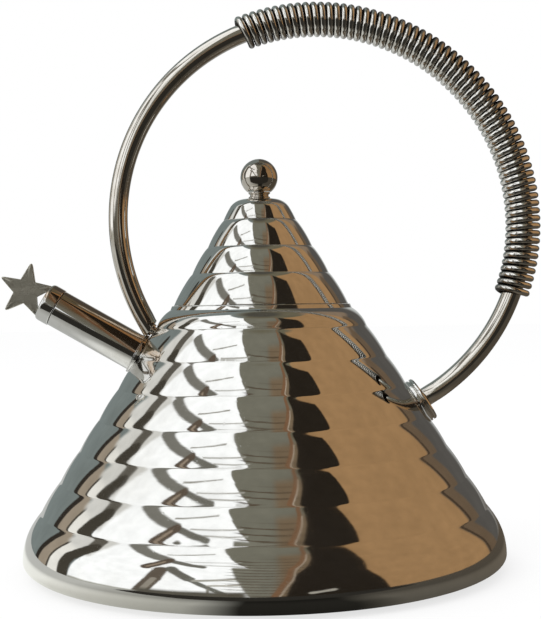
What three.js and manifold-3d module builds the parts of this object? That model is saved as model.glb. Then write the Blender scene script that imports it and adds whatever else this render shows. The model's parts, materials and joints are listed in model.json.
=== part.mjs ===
// Stovetop whistling kettle in polished steel: a banded cone body, a lift-off cone lid with
// a ball knob, a straight spout with a pull-out star whistle, and a ring handle with a
// coil-spring grip. Millimetres, +Z up, the origin at the centre of the flat base.

import * as THREE from 'three';
import { mergeVertices } from 'three/addons/utils/BufferGeometryUtils.js';
import Module from 'manifold-3d';

const wasm = await Module();
wasm.setup();

const DEGREE = Math.PI / 180;
const HALF_TURN = Math.PI;
const QUARTER_TURN = Math.PI / 2;

// Fits that every piece shares
const SEAT_GAP = 0.3; // between two pieces that rest on each other
const HOLE_GAP = 0.3; // round a pin, stud or tube in its hole
const OVERRUN = 6; // how far a cutting tool runs past the piece it cuts
const WALL = 0.8; // sheet that the body, lid, neck and base are spun from

// Facets round the axis of the big spun pieces and of the small turned ones
const SPUN_SIDES = 36;
const TURNED_SIDES = 20;
const FASTENER_SIDES = 16;

// Body: a cone of convex bands, rounded in to a short neck above and under the base below
const BASE_RADIUS = 110; // widest point of the base edge
const CONE_ANGLE = 32.85 * DEGREE; // between the cone and its axis
const EDGE_ROUND = 28.1; // radius that turns the cone down to the vertical
const EDGE_HEIGHT = 6.6; // height of the widest point
const EDGE_TUCK = 12.4; // how far the edge rounds in under the widest point
const BASE_LIFT = 0.5; // height of the body's underside above the base disc's face
const BASE_LIP = 9; // width of the flat lip under the body
const SHOULDER_RADIUS = 46.9; // where the cone ends and the shoulder rounds in
const SHOULDER_ROUND = 8;
const NECK_INSET = 5.1; // from there in to the foot of the short neck above the shoulder
const NECK_TAPER = 0.7; // how far that neck draws in up to the mouth
const NECK_RISE = 3.3;
const CREASES = 7;
const FIRST_SLANT = 3.7; // along the cone, from the shoulder to the first crease
const LAST_SLANT = 6.2; // along the cone, from the last crease to the turning edge
const BAND_BULGE = 0.5; // how far a band's crest stands above its creases
const SHOULDER_STEPS = 3;
const outsideSteps = { band: 3, edge: 5 };
const insideSteps = { band: 1, edge: 3 };

// Base: a raised plate, a heat-spreading disc under it and a thin steel cap round the disc
const DISC_INSET = 8.6; // from the edge of the body's lip in to the disc
const DISC_THICKNESS = 3.5;
const CAP_SHEET = 0.6;
const CAP_BEVEL = 0.6;
const PLATE_STEP = 2; // width of the sloping step round the raised middle

// Mouth ring: the bore inside the mouth that the lid's collar drops into
const MOUTH_LIP = 4.7; // width of the body's flat lip round that bore
const MOUTH_RING_DEPTH = 12;

// Lid
const LID_STEP = 0.3; // how far the lid's slant starts in from the edge of the mouth
const LID_ANGLE = 31.2 * DEGREE; // between the lid's slant and its axis
const CROWN_RADIUS = 12; // where the slant ends under the knob
const CROWN_ROUND = 2;
const lidCreaseShares = [0.305, 0.561, 0.822]; // of the slant, from the rim up
const COLLAR_CLEARANCE = 0.4;
const COLLAR_DEPTH = 11;

// Knob: a ball on a ringed neck, held by a screw from inside the lid
const BALL_RADIUS = 8.6;
const BALL_SEAT_RADIUS = 5.5; // flat under the ball
const KNOB_NECK_RADIUS = 5;
const KNOB_NECK_HEIGHT = 2.8;
const KNOB_GROOVE = 0.7;
const KNOB_SCREW_RADIUS = 2;
const KNOB_SCREW_GRIP = 5; // how far the screw reaches into the ball
const SCREW_HEAD_RADIUS = 3.8;
const SCREW_HEAD_HEIGHT = 2.4;
const SCREW_SOCKET_RADIUS = 1.8;
const SCREW_SOCKET_DEPTH = 1.4;
const KNOB_WASHER_RADIUS = 5.2;

// Spout
const SPOUT_RISE = 30.3 * DEGREE; // above the horizontal
const SPOUT_DROP = 22; // from the mouth down to where its axis leaves the cone
const SPOUT_LENGTH = 43.4; // from the cone to the tip
const SPOUT_RADIUS = 8.65;
const SPOUT_INTRUSION = 0.6; // how far the tube reaches into the hole in the body's wall
const SPOUT_FLANGE_RADIUS = 9.75;
const SPOUT_FLANGE_HEIGHT = 1.5;

// Whistle: a cap with two holed plates on a slotted sleeve that grips the spout's bore
const CAP_RADIUS = 9;
const CAP_LENGTH = 7.1;
const CAP_CHAMFER = 1;
const CAP_END = 1; // thickness of the cap's end wall
const CAP_MOUTH_RADIUS = 4;
const SLEEVE_LENGTH = 12;
const SLEEVE_CLEARANCE = 0.4;
const SLEEVE_SHEET = 0.7;
const SLOT_WIDTH = 1.2;
const SLOT_LENGTH = 8;
const PLATE_SHEET = 0.8;
const WHISTLE_HOLE_RADIUS = 1.6;
const STAR_RADIUS = 12.85;
const STAR_THICKNESS = 1.8;
const STAR_POINTS = 5;
const STAR_CENTRE = 16.5; // from the spout's tip, along its axis

// Handle: a rod bent into a slightly oval ring that stands on the cone at both ends
const FOOT_STEP = 12.85; // up the cone from the spout's axis to the middle of the left foot
const LEFT_FOOT_ANGLE = 211.5 * DEGREE; // of the left foot on the ring, from the horizontal
const RING_RADIUS = 93.6;
const RING_OVAL = 0.96; // the ring is this much longer along one diagonal, shorter on the other
const ROD_RADIUS = 4.4;
const ROD_STEPS = 40;
const ROD_SIDES = 12;
const STUD_RADIUS = 2;
const SPIGOT_RADIUS = 3.3; // of the narrowed end that the left foot stands on
const SPIGOT_HEIGHT = 1;
const FOOT_FLANGE_RADIUS = 10.7;
const FOOT_FLANGE_HEIGHT = 3.3;
const FOOT_FLANGE_EDGE = 0.7;

// The stack that clamps each foot from inside the body
const SEAL_RADIUS = 3.7;
const SEAL_THICKNESS = 1;
const WASHER_RADIUS = 3.8;
const WASHER_THICKNESS = 0.8;
const NUT_RADIUS = 4.04; // across the corners
const NUT_HEIGHT = 3.2;
const NUT_SIDES = 6;
const STUD_PROUD = 1; // how far the stud stands past the nut

// Grip: a coil spring wound round the rod
const COIL_START = -21.6 * DEGREE; // on the ring, from the horizontal
const COIL_END = 112 * DEGREE;
const COIL_TURNS = 66;
const COIL_RADIUS = 6.8; // to the middle of the wire
const WIRE_RADIUS = 1.3;
const WIRE_SIDES = 5;
const STEPS_PER_CURL = 8;

// Materials
const polished = { color: 0xb9b8b2, roughness: 0.12, metalness: 1 };
const springSteel = { color: 0x8f8a82, roughness: 0.3, metalness: 1 };
const dullSteel = { color: 0x8d887c, roughness: 0.4, metalness: 1 };
const insideSteel = { color: 0xa9a8a3, roughness: 0.35, metalness: 1 };
const aluminium = { color: 0xb4b6b8, roughness: 0.45, metalness: 1 };
const silicone = { color: 0x2b2b2b, roughness: 0.7, metalness: 0 };

// Closed solids from three's geometries

// Welds the corners of a geometry, drops flat triangles and turns the faces outward.
function closed(geometry) {
  geometry.deleteAttribute('normal');
  geometry.deleteAttribute('uv');
  const welded = mergeVertices(geometry);
  const corners = welded.index.array;
  const places = welded.attributes.position.array;
  const kept = [];
  let volume = 0;
  for (let i = 0; i < corners.length; i += 3) {
    const [a, b, c] = [corners[i], corners[i + 1], corners[i + 2]];
    if (a === b || b === c || c === a) continue;
    kept.push(a, b, c);
    const p = new THREE.Vector3().fromArray(places, 3 * a);
    const q = new THREE.Vector3().fromArray(places, 3 * b);
    const r = new THREE.Vector3().fromArray(places, 3 * c);
    volume += p.dot(q.cross(r));
  }
  if (volume < 0) kept.reverse();
  welded.setIndex(kept);
  return welded;
}

function toSolid(geometry) {
  return new wasm.Manifold(new wasm.Mesh({
    numProp: 3,
    vertProperties: new Float32Array(geometry.attributes.position.array),
    triVerts: new Uint32Array(geometry.index.array),
  }));
}

function fromSolid(solid) {
  const mesh = solid.getMesh();
  const geometry = new THREE.BufferGeometry();
  geometry.setAttribute('position', new THREE.BufferAttribute(mesh.vertProperties, 3));
  geometry.setIndex(new THREE.BufferAttribute(mesh.triVerts, 1));
  return geometry;
}

function cut(geometry, ...tools) {
  return fromSolid(tools.reduce((solid, tool) => solid.subtract(toSolid(tool)), toSolid(geometry)));
}

function join(geometry, ...others) {
  return fromSolid(others.reduce((solid, other) => solid.add(toSolid(other)), toSolid(geometry)));
}

function overlapOf(geometry, other) {
  return fromSolid(toSolid(geometry).intersect(toSolid(other)));
}

// Turns an outline of [radius, height] points, closed on itself or on the axis, round +Z.
function turned(outline, sides) {
  const points = outline.map(([radius, height]) => new THREE.Vector2(radius, height));
  if (points[0].x > 0) points.push(points[0].clone());
  return closed(new THREE.LatheGeometry(points, sides).rotateX(QUARTER_TURN));
}

function ring(inner, outer, bottom, top, sides) {
  return turned([[inner, bottom], [outer, bottom], [outer, top], [inner, top]], sides);
}

function rod(radius, bottom, top, sides) {
  return turned([[0, bottom], [radius, bottom], [radius, top], [0, top]], sides);
}

function arc(centre, radii, from, to, steps) {
  return Array.from({ length: steps + 1 }, (_, i) => {
    const angle = from + (to - from) * i / steps;
    return [centre[0] + radii[0] * Math.cos(angle), centre[1] + radii[1] * Math.sin(angle)];
  });
}

// Points along a slant whose bands are parabolas between creases. A band touches the slant at
// its crest and lies BAND_BULGE below it at a crease. The last band, and the first if
// `smoothStart` is set, has its crest at the outer end, where a rounding takes over. `marks`
// are the ends of the bands, and `at(along, out)` gives a point of the slant.
function banded(at, marks, smoothStart, steps, out) {
  const points = [];
  for (let band = 0; band + 1 < marks.length; band += 1) {
    let crest = 1 / 2;
    if (band === 0 && smoothStart) crest = 0;
    if (band + 2 === marks.length) crest = 1;
    for (let i = 0; i < steps; i += 1) {
      const share = i / steps;
      const fall = (share - crest) / Math.max(crest, 1 - crest);
      const along = marks[band] + (marks[band + 1] - marks[band]) * share;
      points.push(at(along, out - BAND_BULGE * fall ** 2));
    }
  }
  return points;
}

// The cone's places, worked out from the base edge up
const coneSin = Math.sin(CONE_ANGLE);
const coneCos = Math.cos(CONE_ANGLE);
const turnRadius = BASE_RADIUS - EDGE_ROUND * (1 - coneCos);
const turnHeight = EDGE_HEIGHT + EDGE_ROUND * coneSin;
const coneSlant = (turnRadius - SHOULDER_RADIUS) / coneSin;
const shoulderHeight = turnHeight + coneSlant * coneCos;
const bandSlant = (coneSlant - FIRST_SLANT - LAST_SLANT) / (CREASES - 1);
const coneMarks = [0];
for (let i = 0; i < CREASES; i += 1) coneMarks.push(FIRST_SLANT + i * bandSlant);
coneMarks.push(coneSlant);

function coneAt(along, out) {
  return [
    SHOULDER_RADIUS + along * coneSin + out * coneCos,
    shoulderHeight - along * coneCos + out * coneSin,
  ];
}

function coneRadiusAt(height) {
  return SHOULDER_RADIUS + (shoulderHeight - height) * coneSin / coneCos;
}

const shoulderCentre = coneAt(0, -SHOULDER_ROUND);
const neckRadius = SHOULDER_RADIUS - NECK_INSET;
const mouthRadius = neckRadius - NECK_TAPER;
const mouthBore = mouthRadius - MOUTH_LIP;

// The shoulder's arc, from the foot of the neck down to the cone, moved outward by `out`
function shoulderArc(out) {
  const radius = SHOULDER_ROUND + out;
  const neckAngle = Math.acos((neckRadius + out - shoulderCentre[0]) / radius);
  return arc(shoulderCentre, [radius, radius], neckAngle, CONE_ANGLE, SHOULDER_STEPS);
}

const mouthHeight = shoulderArc(0)[0][1] + NECK_RISE;
const baseLipRadius = BASE_RADIUS - EDGE_TUCK - BASE_LIP;

// The body's surface from the mouth to the lip under it, moved outward by `out`.
function bodySkin(out, steps) {
  const turnCentre = [BASE_RADIUS - EDGE_ROUND, EDGE_HEIGHT];
  const tuckCentre = [BASE_RADIUS - EDGE_TUCK, EDGE_HEIGHT];
  const turnRadii = [EDGE_ROUND + out, EDGE_ROUND + out];
  const tuckRadii = [EDGE_TUCK + out, EDGE_HEIGHT - BASE_LIFT + out];
  return [
    [mouthRadius + out, mouthHeight],
    ...shoulderArc(out).slice(0, -1),
    ...banded(coneAt, coneMarks, true, steps.band, out),
    ...arc(turnCentre, turnRadii, CONE_ANGLE, 0, steps.edge),
    ...arc(tuckCentre, tuckRadii, 0, -QUARTER_TURN, steps.edge).slice(1),
  ];
}

// A solid bounded by the body's skin, for fitting pieces against it from either side.
function bodyEnvelope(out, steps) {
  const skin = bodySkin(out, steps);
  return turned([[0, skin[0][1]], ...skin, [0, skin.at(-1)[1]]], SPUN_SIDES);
}

const outerEnvelope = bodyEnvelope(SEAT_GAP, outsideSteps);
const innerEnvelope = bodyEnvelope(-WALL - SEAT_GAP, insideSteps);

// Scene graph: each group's local +Z is the axis that its pieces are turned round
const kettle = new THREE.Group();

function addPiece(group, name, geometry, finish) {
  geometry.computeVertexNormals();
  const mesh = new THREE.Mesh(geometry, new THREE.MeshStandardMaterial(finish));
  mesh.name = name;
  group.add(mesh);
}

function addGroup(parent, position, lean) {
  const group = new THREE.Group();
  group.position.copy(position);
  group.rotation.y = lean;
  parent.add(group);
  group.updateWorldMatrix(true, false);
  return group;
}

function intoGroup(geometry, group) {
  return geometry.clone().applyMatrix4(group.matrixWorld.clone().invert());
}

function outOfGroup(geometry, group) {
  return geometry.clone().applyMatrix4(group.matrixWorld);
}

// Spout: its group sits where the axis leaves the cone, leaning towards -X
const spoutHeight = mouthHeight - SPOUT_DROP;
const spoutRoot = new THREE.Vector3(-coneRadiusAt(spoutHeight), 0, spoutHeight);
const spout = addGroup(kettle, spoutRoot, SPOUT_RISE - QUARTER_TURN);
const boreRadius = SPOUT_RADIUS - WALL;

// A foot's group sits on the cone under the middle of the rod's end, square to the cone
const coneLean = QUARTER_TURN - CONE_ANGLE;
const leftSeat = SPIGOT_HEIGHT + SEAT_GAP;
const rightSeat = FOOT_FLANGE_HEIGHT + SEAT_GAP;
const leftHeight = spoutHeight + FOOT_STEP * coneCos;
const leftFootPlace = new THREE.Vector3(-coneRadiusAt(leftHeight), 0, leftHeight);
const leftFoot = addGroup(kettle, leftFootPlace, -coneLean);

// Ring handle: its centre line, in the plane that holds the spout and the body's axis. It is
// placed by its left end, so that a larger or smaller ring keeps that foot.
function ringSpoke(angle) {
  const radius = RING_RADIUS - RING_OVAL * Math.sin(2 * angle);
  return new THREE.Vector3(radius * Math.cos(angle), 0, radius * Math.sin(angle));
}

const ringCentre = leftFoot.localToWorld(new THREE.Vector3(0, 0, leftSeat));
ringCentre.sub(ringSpoke(LEFT_FOOT_ANGLE));

function ringPoint(angle) {
  return ringSpoke(angle).add(ringCentre);
}

class RingPath extends THREE.Curve {
  constructor(from, to) {
    super();
    this.from = from;
    this.to = to;
  }

  getPoint(t) {
    return ringPoint(this.from + (this.to - this.from) * t);
  }
}

// The angle on the ring where its centre line comes within `height` of the cone, found by
// halving the interval between an angle outside the body and one inside it.
function footAngle(outside, inside, height) {
  let [clear, buried] = [outside, inside];
  for (let i = 0; i < 50; i += 1) {
    const middle = (clear + buried) / 2;
    const point = ringPoint(middle);
    if (Math.abs(point.x) > coneRadiusAt(point.z) + height / coneCos) clear = middle;
    else buried = middle;
  }
  return (clear + buried) / 2;
}

const rightAngle = footAngle(QUARTER_TURN, -QUARTER_TURN, rightSeat);
const rightNormal = new THREE.Vector3(coneCos, 0, coneSin);
const rightFootPlace = ringPoint(rightAngle).addScaledVector(rightNormal, -rightSeat);
const rightFoot = addGroup(kettle, rightFootPlace, coneLean);

// Depths of the clamping stack, measured inward from the cone along a foot's stud
const sealDepth = WALL + BAND_BULGE + SEAT_GAP + SEAL_THICKNESS;
const washerDepth = sealDepth + SEAT_GAP + WASHER_THICKNESS;
const nutDepth = washerDepth + SEAT_GAP + NUT_HEIGHT;
const studDepth = nutDepth + STUD_PROUD;

function addBody() {
  const outside = bodySkin(0, outsideSteps);
  const inside = bodySkin(-WALL, insideSteps);
  const mouthLip = mouthBore + WALL;
  inside[0][1] = mouthHeight - WALL;
  const shell = turned([
    [mouthLip, mouthHeight],
    ...outside,
    [baseLipRadius, BASE_LIFT],
    [baseLipRadius, BASE_LIFT + WALL],
    ...inside.reverse(),
    [mouthLip, mouthHeight - WALL],
  ], SPUN_SIDES);
  const spoutHole = rod(SPOUT_RADIUS + HOLE_GAP, -OVERRUN, OVERRUN, TURNED_SIDES);
  const studHole = rod(STUD_RADIUS + HOLE_GAP, -OVERRUN, OVERRUN, FASTENER_SIDES);
  addPiece(kettle, 'body_shell', cut(
    shell,
    outOfGroup(spoutHole, spout),
    outOfGroup(studHole, leftFoot),
    outOfGroup(studHole, rightFoot),
  ), polished);
}

function addBase() {
  const discRadius = baseLipRadius - DISC_INSET;
  const capRadius = discRadius + SEAT_GAP + CAP_SHEET;
  const discBottom = CAP_SHEET + SEAT_GAP;
  const discTop = discBottom + DISC_THICKNESS;
  addPiece(kettle, 'disc_cap', turned([
    [0, 0],
    [capRadius - CAP_BEVEL, 0],
    [capRadius, CAP_BEVEL],
    [capRadius, discTop],
    [capRadius - CAP_SHEET, discTop],
    [capRadius - CAP_SHEET, CAP_SHEET],
    [0, CAP_SHEET],
  ], SPUN_SIDES), insideSteel);
  addPiece(kettle, 'heat_disc', rod(discRadius, discBottom, discTop, SPUN_SIDES), aluminium);

  const raised = discTop + SEAT_GAP;
  const seated = BASE_LIFT + WALL + SEAT_GAP;
  const stepRadius = capRadius + SEAT_GAP;
  const plateRadius = BASE_RADIUS - EDGE_TUCK;
  addPiece(kettle, 'base_plate', turned([
    [0, raised],
    [stepRadius, raised],
    [stepRadius + PLATE_STEP, seated],
    [plateRadius, seated],
    [plateRadius, seated + WALL],
    [stepRadius + PLATE_STEP + WALL, seated + WALL],
    [stepRadius + WALL, raised + WALL],
    [0, raised + WALL],
  ], SPUN_SIDES), insideSteel);
}

function addMouthRing() {
  const top = mouthHeight - WALL - SEAT_GAP;
  const bottom = mouthHeight - MOUTH_RING_DEPTH;
  const flangeRadius = mouthRadius - WALL - SEAT_GAP;
  addPiece(kettle, 'mouth_ring', turned([
    [mouthBore, bottom],
    [mouthBore + WALL, bottom],
    [mouthBore + WALL, top - WALL],
    [flangeRadius, top - WALL],
    [flangeRadius, top],
    [mouthBore, top],
  ], SPUN_SIDES), insideSteel);
}

// Lid: its group's origin is the centre of the rim's lower face
function addLid() {
  const lid = addGroup(kettle, new THREE.Vector3(0, 0, mouthHeight + SEAT_GAP), 0);
  const rimRadius = mouthRadius - LID_STEP;
  const lidSin = Math.sin(LID_ANGLE);
  const lidCos = Math.cos(LID_ANGLE);
  const slant = (rimRadius - CROWN_RADIUS) / lidSin;
  const lidAt = (up, out) => [
    rimRadius - up * lidSin + out * lidCos,
    up * lidCos + out * lidSin,
  ];
  const marks = [0, ...lidCreaseShares.map((share) => share * slant), slant];

  // The crown rounds from the slant to a flat top with the screw's hole
  const crownCentre = lidAt(slant, -CROWN_ROUND);
  const crownHeight = crownCentre[1] + CROWN_ROUND;
  const lidSkin = (out, steps) => {
    const crownRadii = [CROWN_ROUND + out, CROWN_ROUND + out];
    const skin = [
      ...banded(lidAt, marks, false, steps, out),
      ...arc(crownCentre, crownRadii, LID_ANGLE, QUARTER_TURN, 3),
      [KNOB_SCREW_RADIUS + HOLE_GAP, crownHeight + out],
    ];
    skin[0][1] = 0;
    return skin;
  };
  addPiece(lid, 'lid_shell', turned([
    ...lidSkin(0, outsideSteps.band), ...lidSkin(-WALL, insideSteps.band).reverse(),
  ], SPUN_SIDES), polished);

  const collarRadius = mouthBore - COLLAR_CLEARANCE;
  const flangeTop = SEAT_GAP + WALL;
  const flangeRadius = rimRadius - flangeTop * lidSin / lidCos
    - (WALL + BAND_BULGE + SEAT_GAP) / lidCos;
  addPiece(lid, 'lid_collar', turned([
    [collarRadius - WALL, -COLLAR_DEPTH],
    [collarRadius, -COLLAR_DEPTH],
    [collarRadius, SEAT_GAP],
    [flangeRadius, SEAT_GAP],
    [flangeRadius, flangeTop],
    [collarRadius - WALL, flangeTop],
  ], SPUN_SIDES), insideSteel);
  addKnob(lid, crownHeight);
}

function addKnob(lid, crownTop) {
  const neckBottom = crownTop + SEAT_GAP;
  const neckTop = neckBottom + KNOB_NECK_HEIGHT;
  const bandHeight = KNOB_NECK_HEIGHT / 5;
  const waist = KNOB_NECK_RADIUS - KNOB_GROOVE;
  const hole = KNOB_SCREW_RADIUS + HOLE_GAP;
  addPiece(lid, 'knob_neck', turned([
    [hole, neckBottom],
    [KNOB_NECK_RADIUS, neckBottom],
    [KNOB_NECK_RADIUS, neckBottom + bandHeight],
    [waist, neckBottom + 2 * bandHeight],
    [waist, neckBottom + 3 * bandHeight],
    [KNOB_NECK_RADIUS, neckBottom + 4 * bandHeight],
    [KNOB_NECK_RADIUS, neckTop],
    [hole, neckTop],
  ], TURNED_SIDES), polished);

  const seat = neckTop + SEAT_GAP;
  const seatAngle = -Math.acos(BALL_SEAT_RADIUS / BALL_RADIUS);
  const centre = seat - BALL_RADIUS * Math.sin(seatAngle);
  const boreTop = seat + KNOB_SCREW_GRIP + HOLE_GAP;
  const ballArc = arc([0, centre], [BALL_RADIUS, BALL_RADIUS], seatAngle, QUARTER_TURN, 12);
  addPiece(lid, 'knob_ball', turned([
    [0, boreTop],
    [hole, boreTop],
    [hole, seat],
    ...ballArc.slice(0, -1),
    [0, centre + BALL_RADIUS],
  ], TURNED_SIDES), polished);

  const washerTop = crownTop - WALL - SEAT_GAP;
  const washerBottom = washerTop - WALL;
  addPiece(lid, 'knob_washer',
    ring(hole, KNOB_WASHER_RADIUS, washerBottom, washerTop, FASTENER_SIDES), insideSteel);

  const headTop = washerBottom - SEAT_GAP;
  const headBottom = headTop - SCREW_HEAD_HEIGHT;
  addPiece(lid, 'knob_screw', turned([
    [0, headBottom + SCREW_SOCKET_DEPTH],
    [SCREW_SOCKET_RADIUS, headBottom + SCREW_SOCKET_DEPTH],
    [SCREW_SOCKET_RADIUS, headBottom],
    [SCREW_HEAD_RADIUS, headBottom],
    [SCREW_HEAD_RADIUS, headTop],
    [KNOB_SCREW_RADIUS, headTop],
    [KNOB_SCREW_RADIUS, seat + KNOB_SCREW_GRIP],
    [0, seat + KNOB_SCREW_GRIP],
  ], FASTENER_SIDES), dullSteel);
}

function addSpout() {
  addPiece(spout, 'spout_tube',
    ring(boreRadius, SPOUT_RADIUS, -SPOUT_INTRUSION, SPOUT_LENGTH, TURNED_SIDES), polished);

  // The root flange is stepped, and its underside follows the banded cone
  const hole = SPOUT_RADIUS + HOLE_GAP;
  const groove = (SPOUT_FLANGE_RADIUS - hole) / 2;
  const flange = turned([
    [hole, -OVERRUN],
    [SPOUT_FLANGE_RADIUS, -OVERRUN],
    [SPOUT_FLANGE_RADIUS, SPOUT_FLANGE_HEIGHT / 2],
    [SPOUT_FLANGE_RADIUS - groove, SPOUT_FLANGE_HEIGHT / 2],
    [SPOUT_FLANGE_RADIUS - groove, SPOUT_FLANGE_HEIGHT * 2 / 3],
    [SPOUT_FLANGE_RADIUS, SPOUT_FLANGE_HEIGHT * 2 / 3],
    [SPOUT_FLANGE_RADIUS, SPOUT_FLANGE_HEIGHT],
    [hole, SPOUT_FLANGE_HEIGHT],
  ], TURNED_SIDES);
  addPiece(spout, 'spout_flange', cut(flange, intoGroup(outerEnvelope, spout)), polished);
}

// A flat star with one point along +Z, centred on the whistle's axis
function starPrism(radius, thickness) {
  const waistShare = Math.sin(Math.PI / 10) / Math.sin(7 * Math.PI / 10);
  const outline = new THREE.Shape();
  for (let i = 0; i < 2 * STAR_POINTS; i += 1) {
    const reach = i % 2 === 0 ? radius : radius * waistShare;
    const angle = QUARTER_TURN + i * Math.PI / STAR_POINTS;
    const corner = [reach * Math.cos(angle), reach * Math.sin(angle)];
    if (i === 0) outline.moveTo(...corner);
    else outline.lineTo(...corner);
  }
  outline.closePath();
  const prism = new THREE.ExtrudeGeometry(outline, { depth: thickness, bevelEnabled: false });
  return closed(prism.rotateX(QUARTER_TURN).translate(0, thickness / 2, STAR_CENTRE));
}

// Whistle: its group's origin is the spout's tip
function addWhistle() {
  const whistle = addGroup(spout, new THREE.Vector3(0, 0, SPOUT_LENGTH), 0);
  const chamber = CAP_RADIUS - WALL;
  const endBottom = CAP_LENGTH - CAP_END;
  const cap = turned([
    [chamber, SEAT_GAP],
    [CAP_RADIUS, SEAT_GAP],
    [CAP_RADIUS, CAP_LENGTH - CAP_CHAMFER],
    [CAP_RADIUS - CAP_CHAMFER, CAP_LENGTH],
    [CAP_MOUTH_RADIUS, CAP_LENGTH],
    [CAP_MOUTH_RADIUS, endBottom],
    [chamber, endBottom],
  ], TURNED_SIDES);

  // The star's two rear points sit in slots in the cap's end; a point's half angle is a tenth
  // of a half turn, so a star this much larger clears the smaller one by the seat gap
  const slotStar = STAR_RADIUS + SEAT_GAP / Math.sin(Math.PI / 10);
  const slots = starPrism(slotStar, STAR_THICKNESS + 2 * SEAT_GAP);
  addPiece(whistle, 'whistle_cap', cut(cap, slots), polished);
  addPiece(whistle, 'whistle_star', starPrism(STAR_RADIUS, STAR_THICKNESS), dullSteel);

  // Sleeve: a flange inside the cap, and a tube with four spring fingers in the bore
  const sleeveRadius = boreRadius - SLEEVE_CLEARANCE;
  const sleeveBore = sleeveRadius - SLEEVE_SHEET;
  const flangeTop = SEAT_GAP + SLEEVE_SHEET;
  const insert = chamber - SEAT_GAP;
  const sleeve = turned([
    [sleeveBore, -SLEEVE_LENGTH],
    [sleeveRadius, -SLEEVE_LENGTH],
    [sleeveRadius, SEAT_GAP],
    [insert, SEAT_GAP],
    [insert, flangeTop],
    [sleeveBore, flangeTop],
  ], TURNED_SIDES);
  const slot = closed(new THREE.BoxGeometry(4 * sleeveRadius, SLOT_WIDTH, 2 * SLOT_LENGTH)
    .translate(0, 0, -SLEEVE_LENGTH));
  const crossSlot = slot.clone().rotateZ(QUARTER_TURN);
  addPiece(whistle, 'whistle_sleeve', cut(sleeve, slot, crossSlot), insideSteel);

  const rearBottom = flangeTop + SEAT_GAP;
  const frontTop = endBottom - SEAT_GAP;
  addPiece(whistle, 'whistle_rear_plate',
    ring(WHISTLE_HOLE_RADIUS, insert, rearBottom, rearBottom + PLATE_SHEET, TURNED_SIDES),
    insideSteel);
  addPiece(whistle, 'whistle_front_plate',
    ring(WHISTLE_HOLE_RADIUS, insert, frontTop - PLATE_SHEET, frontTop, TURNED_SIDES),
    insideSteel);
}

// Handle rod: the swept ring, with its ends cut flat over their seats and a stud on each. The
// left end narrows to a spigot that stands on the cone, relieved beside the spout's flange.
function addHandle() {
  const section = new THREE.Shape();
  for (let i = 0; i < ROD_SIDES; i += 1) {
    const angle = i * 2 * Math.PI / ROD_SIDES;
    const corner = [ROD_RADIUS * Math.cos(angle), ROD_RADIUS * Math.sin(angle)];
    if (i === 0) section.moveTo(...corner);
    else section.lineTo(...corner);
  }
  section.closePath();
  const buried = OVERRUN / RING_RADIUS;
  const path = new RingPath(LEFT_FOOT_ANGLE + buried, rightAngle - buried);
  const sweep = closed(new THREE.ExtrudeGeometry(section, {
    steps: ROD_STEPS, extrudePath: path, bevelEnabled: false,
  }));
  const below = (height) => rod(FOOT_FLANGE_RADIUS, -2 * OVERRUN, height, FASTENER_SIDES);
  const bar = cut(
    sweep, outOfGroup(below(leftSeat), leftFoot), outOfGroup(below(rightSeat), rightFoot),
  );
  const spigot = rod(SPIGOT_RADIUS, -OVERRUN, leftSeat + ROD_RADIUS / 2, FASTENER_SIDES);
  const seated = cut(outOfGroup(spigot, leftFoot), outerEnvelope);
  const spoutRoom = rod(SPOUT_FLANGE_RADIUS + SEAT_GAP, -OVERRUN,
    SPOUT_FLANGE_HEIGHT + SEAT_GAP, TURNED_SIDES);
  const relieved = cut(join(bar, seated), outOfGroup(spoutRoom, spout));
  const stud = (height) => rod(STUD_RADIUS, -studDepth, height + ROD_RADIUS / 2, FASTENER_SIDES);
  addPiece(kettle, 'handle_rod', join(
    relieved, outOfGroup(stud(leftSeat), leftFoot), outOfGroup(stud(rightSeat), rightFoot),
  ), polished);
}

// Flange under the right foot, stepped like a pair of stacked discs and seated on the cone
function addFootFlange() {
  const hole = STUD_RADIUS + HOLE_GAP;
  const grooveBottom = FOOT_FLANGE_HEIGHT / 3;
  const grooveTop = grooveBottom + FOOT_FLANGE_EDGE;
  const flange = turned([
    [hole, -OVERRUN],
    [FOOT_FLANGE_RADIUS, -OVERRUN],
    [FOOT_FLANGE_RADIUS, grooveBottom],
    [FOOT_FLANGE_RADIUS - FOOT_FLANGE_EDGE, grooveBottom],
    [FOOT_FLANGE_RADIUS - FOOT_FLANGE_EDGE, grooveTop],
    [FOOT_FLANGE_RADIUS, grooveTop],
    [FOOT_FLANGE_RADIUS, FOOT_FLANGE_HEIGHT - FOOT_FLANGE_EDGE],
    [FOOT_FLANGE_RADIUS - FOOT_FLANGE_EDGE, FOOT_FLANGE_HEIGHT],
    [hole, FOOT_FLANGE_HEIGHT],
  ], TURNED_SIDES);
  addPiece(rightFoot, 'handle_flange', cut(flange, intoGroup(outerEnvelope, rightFoot)), polished);
}

// Seal, washer and nut on a foot's stud, inside the body
function addClampStack(foot, side) {
  const hole = STUD_RADIUS + HOLE_GAP;
  const seal = ring(hole, SEAL_RADIUS, -sealDepth, 0, FASTENER_SIDES);
  addPiece(foot, `handle_seal_${side}`, overlapOf(seal, intoGroup(innerEnvelope, foot)), silicone);
  addPiece(foot, `handle_washer_${side}`,
    ring(hole, WASHER_RADIUS, -washerDepth, WASHER_THICKNESS - washerDepth, FASTENER_SIDES),
    insideSteel);
  addPiece(foot, `handle_nut_${side}`,
    ring(hole, NUT_RADIUS, -nutDepth, NUT_HEIGHT - nutDepth, NUT_SIDES), dullSteel);
}

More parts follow.
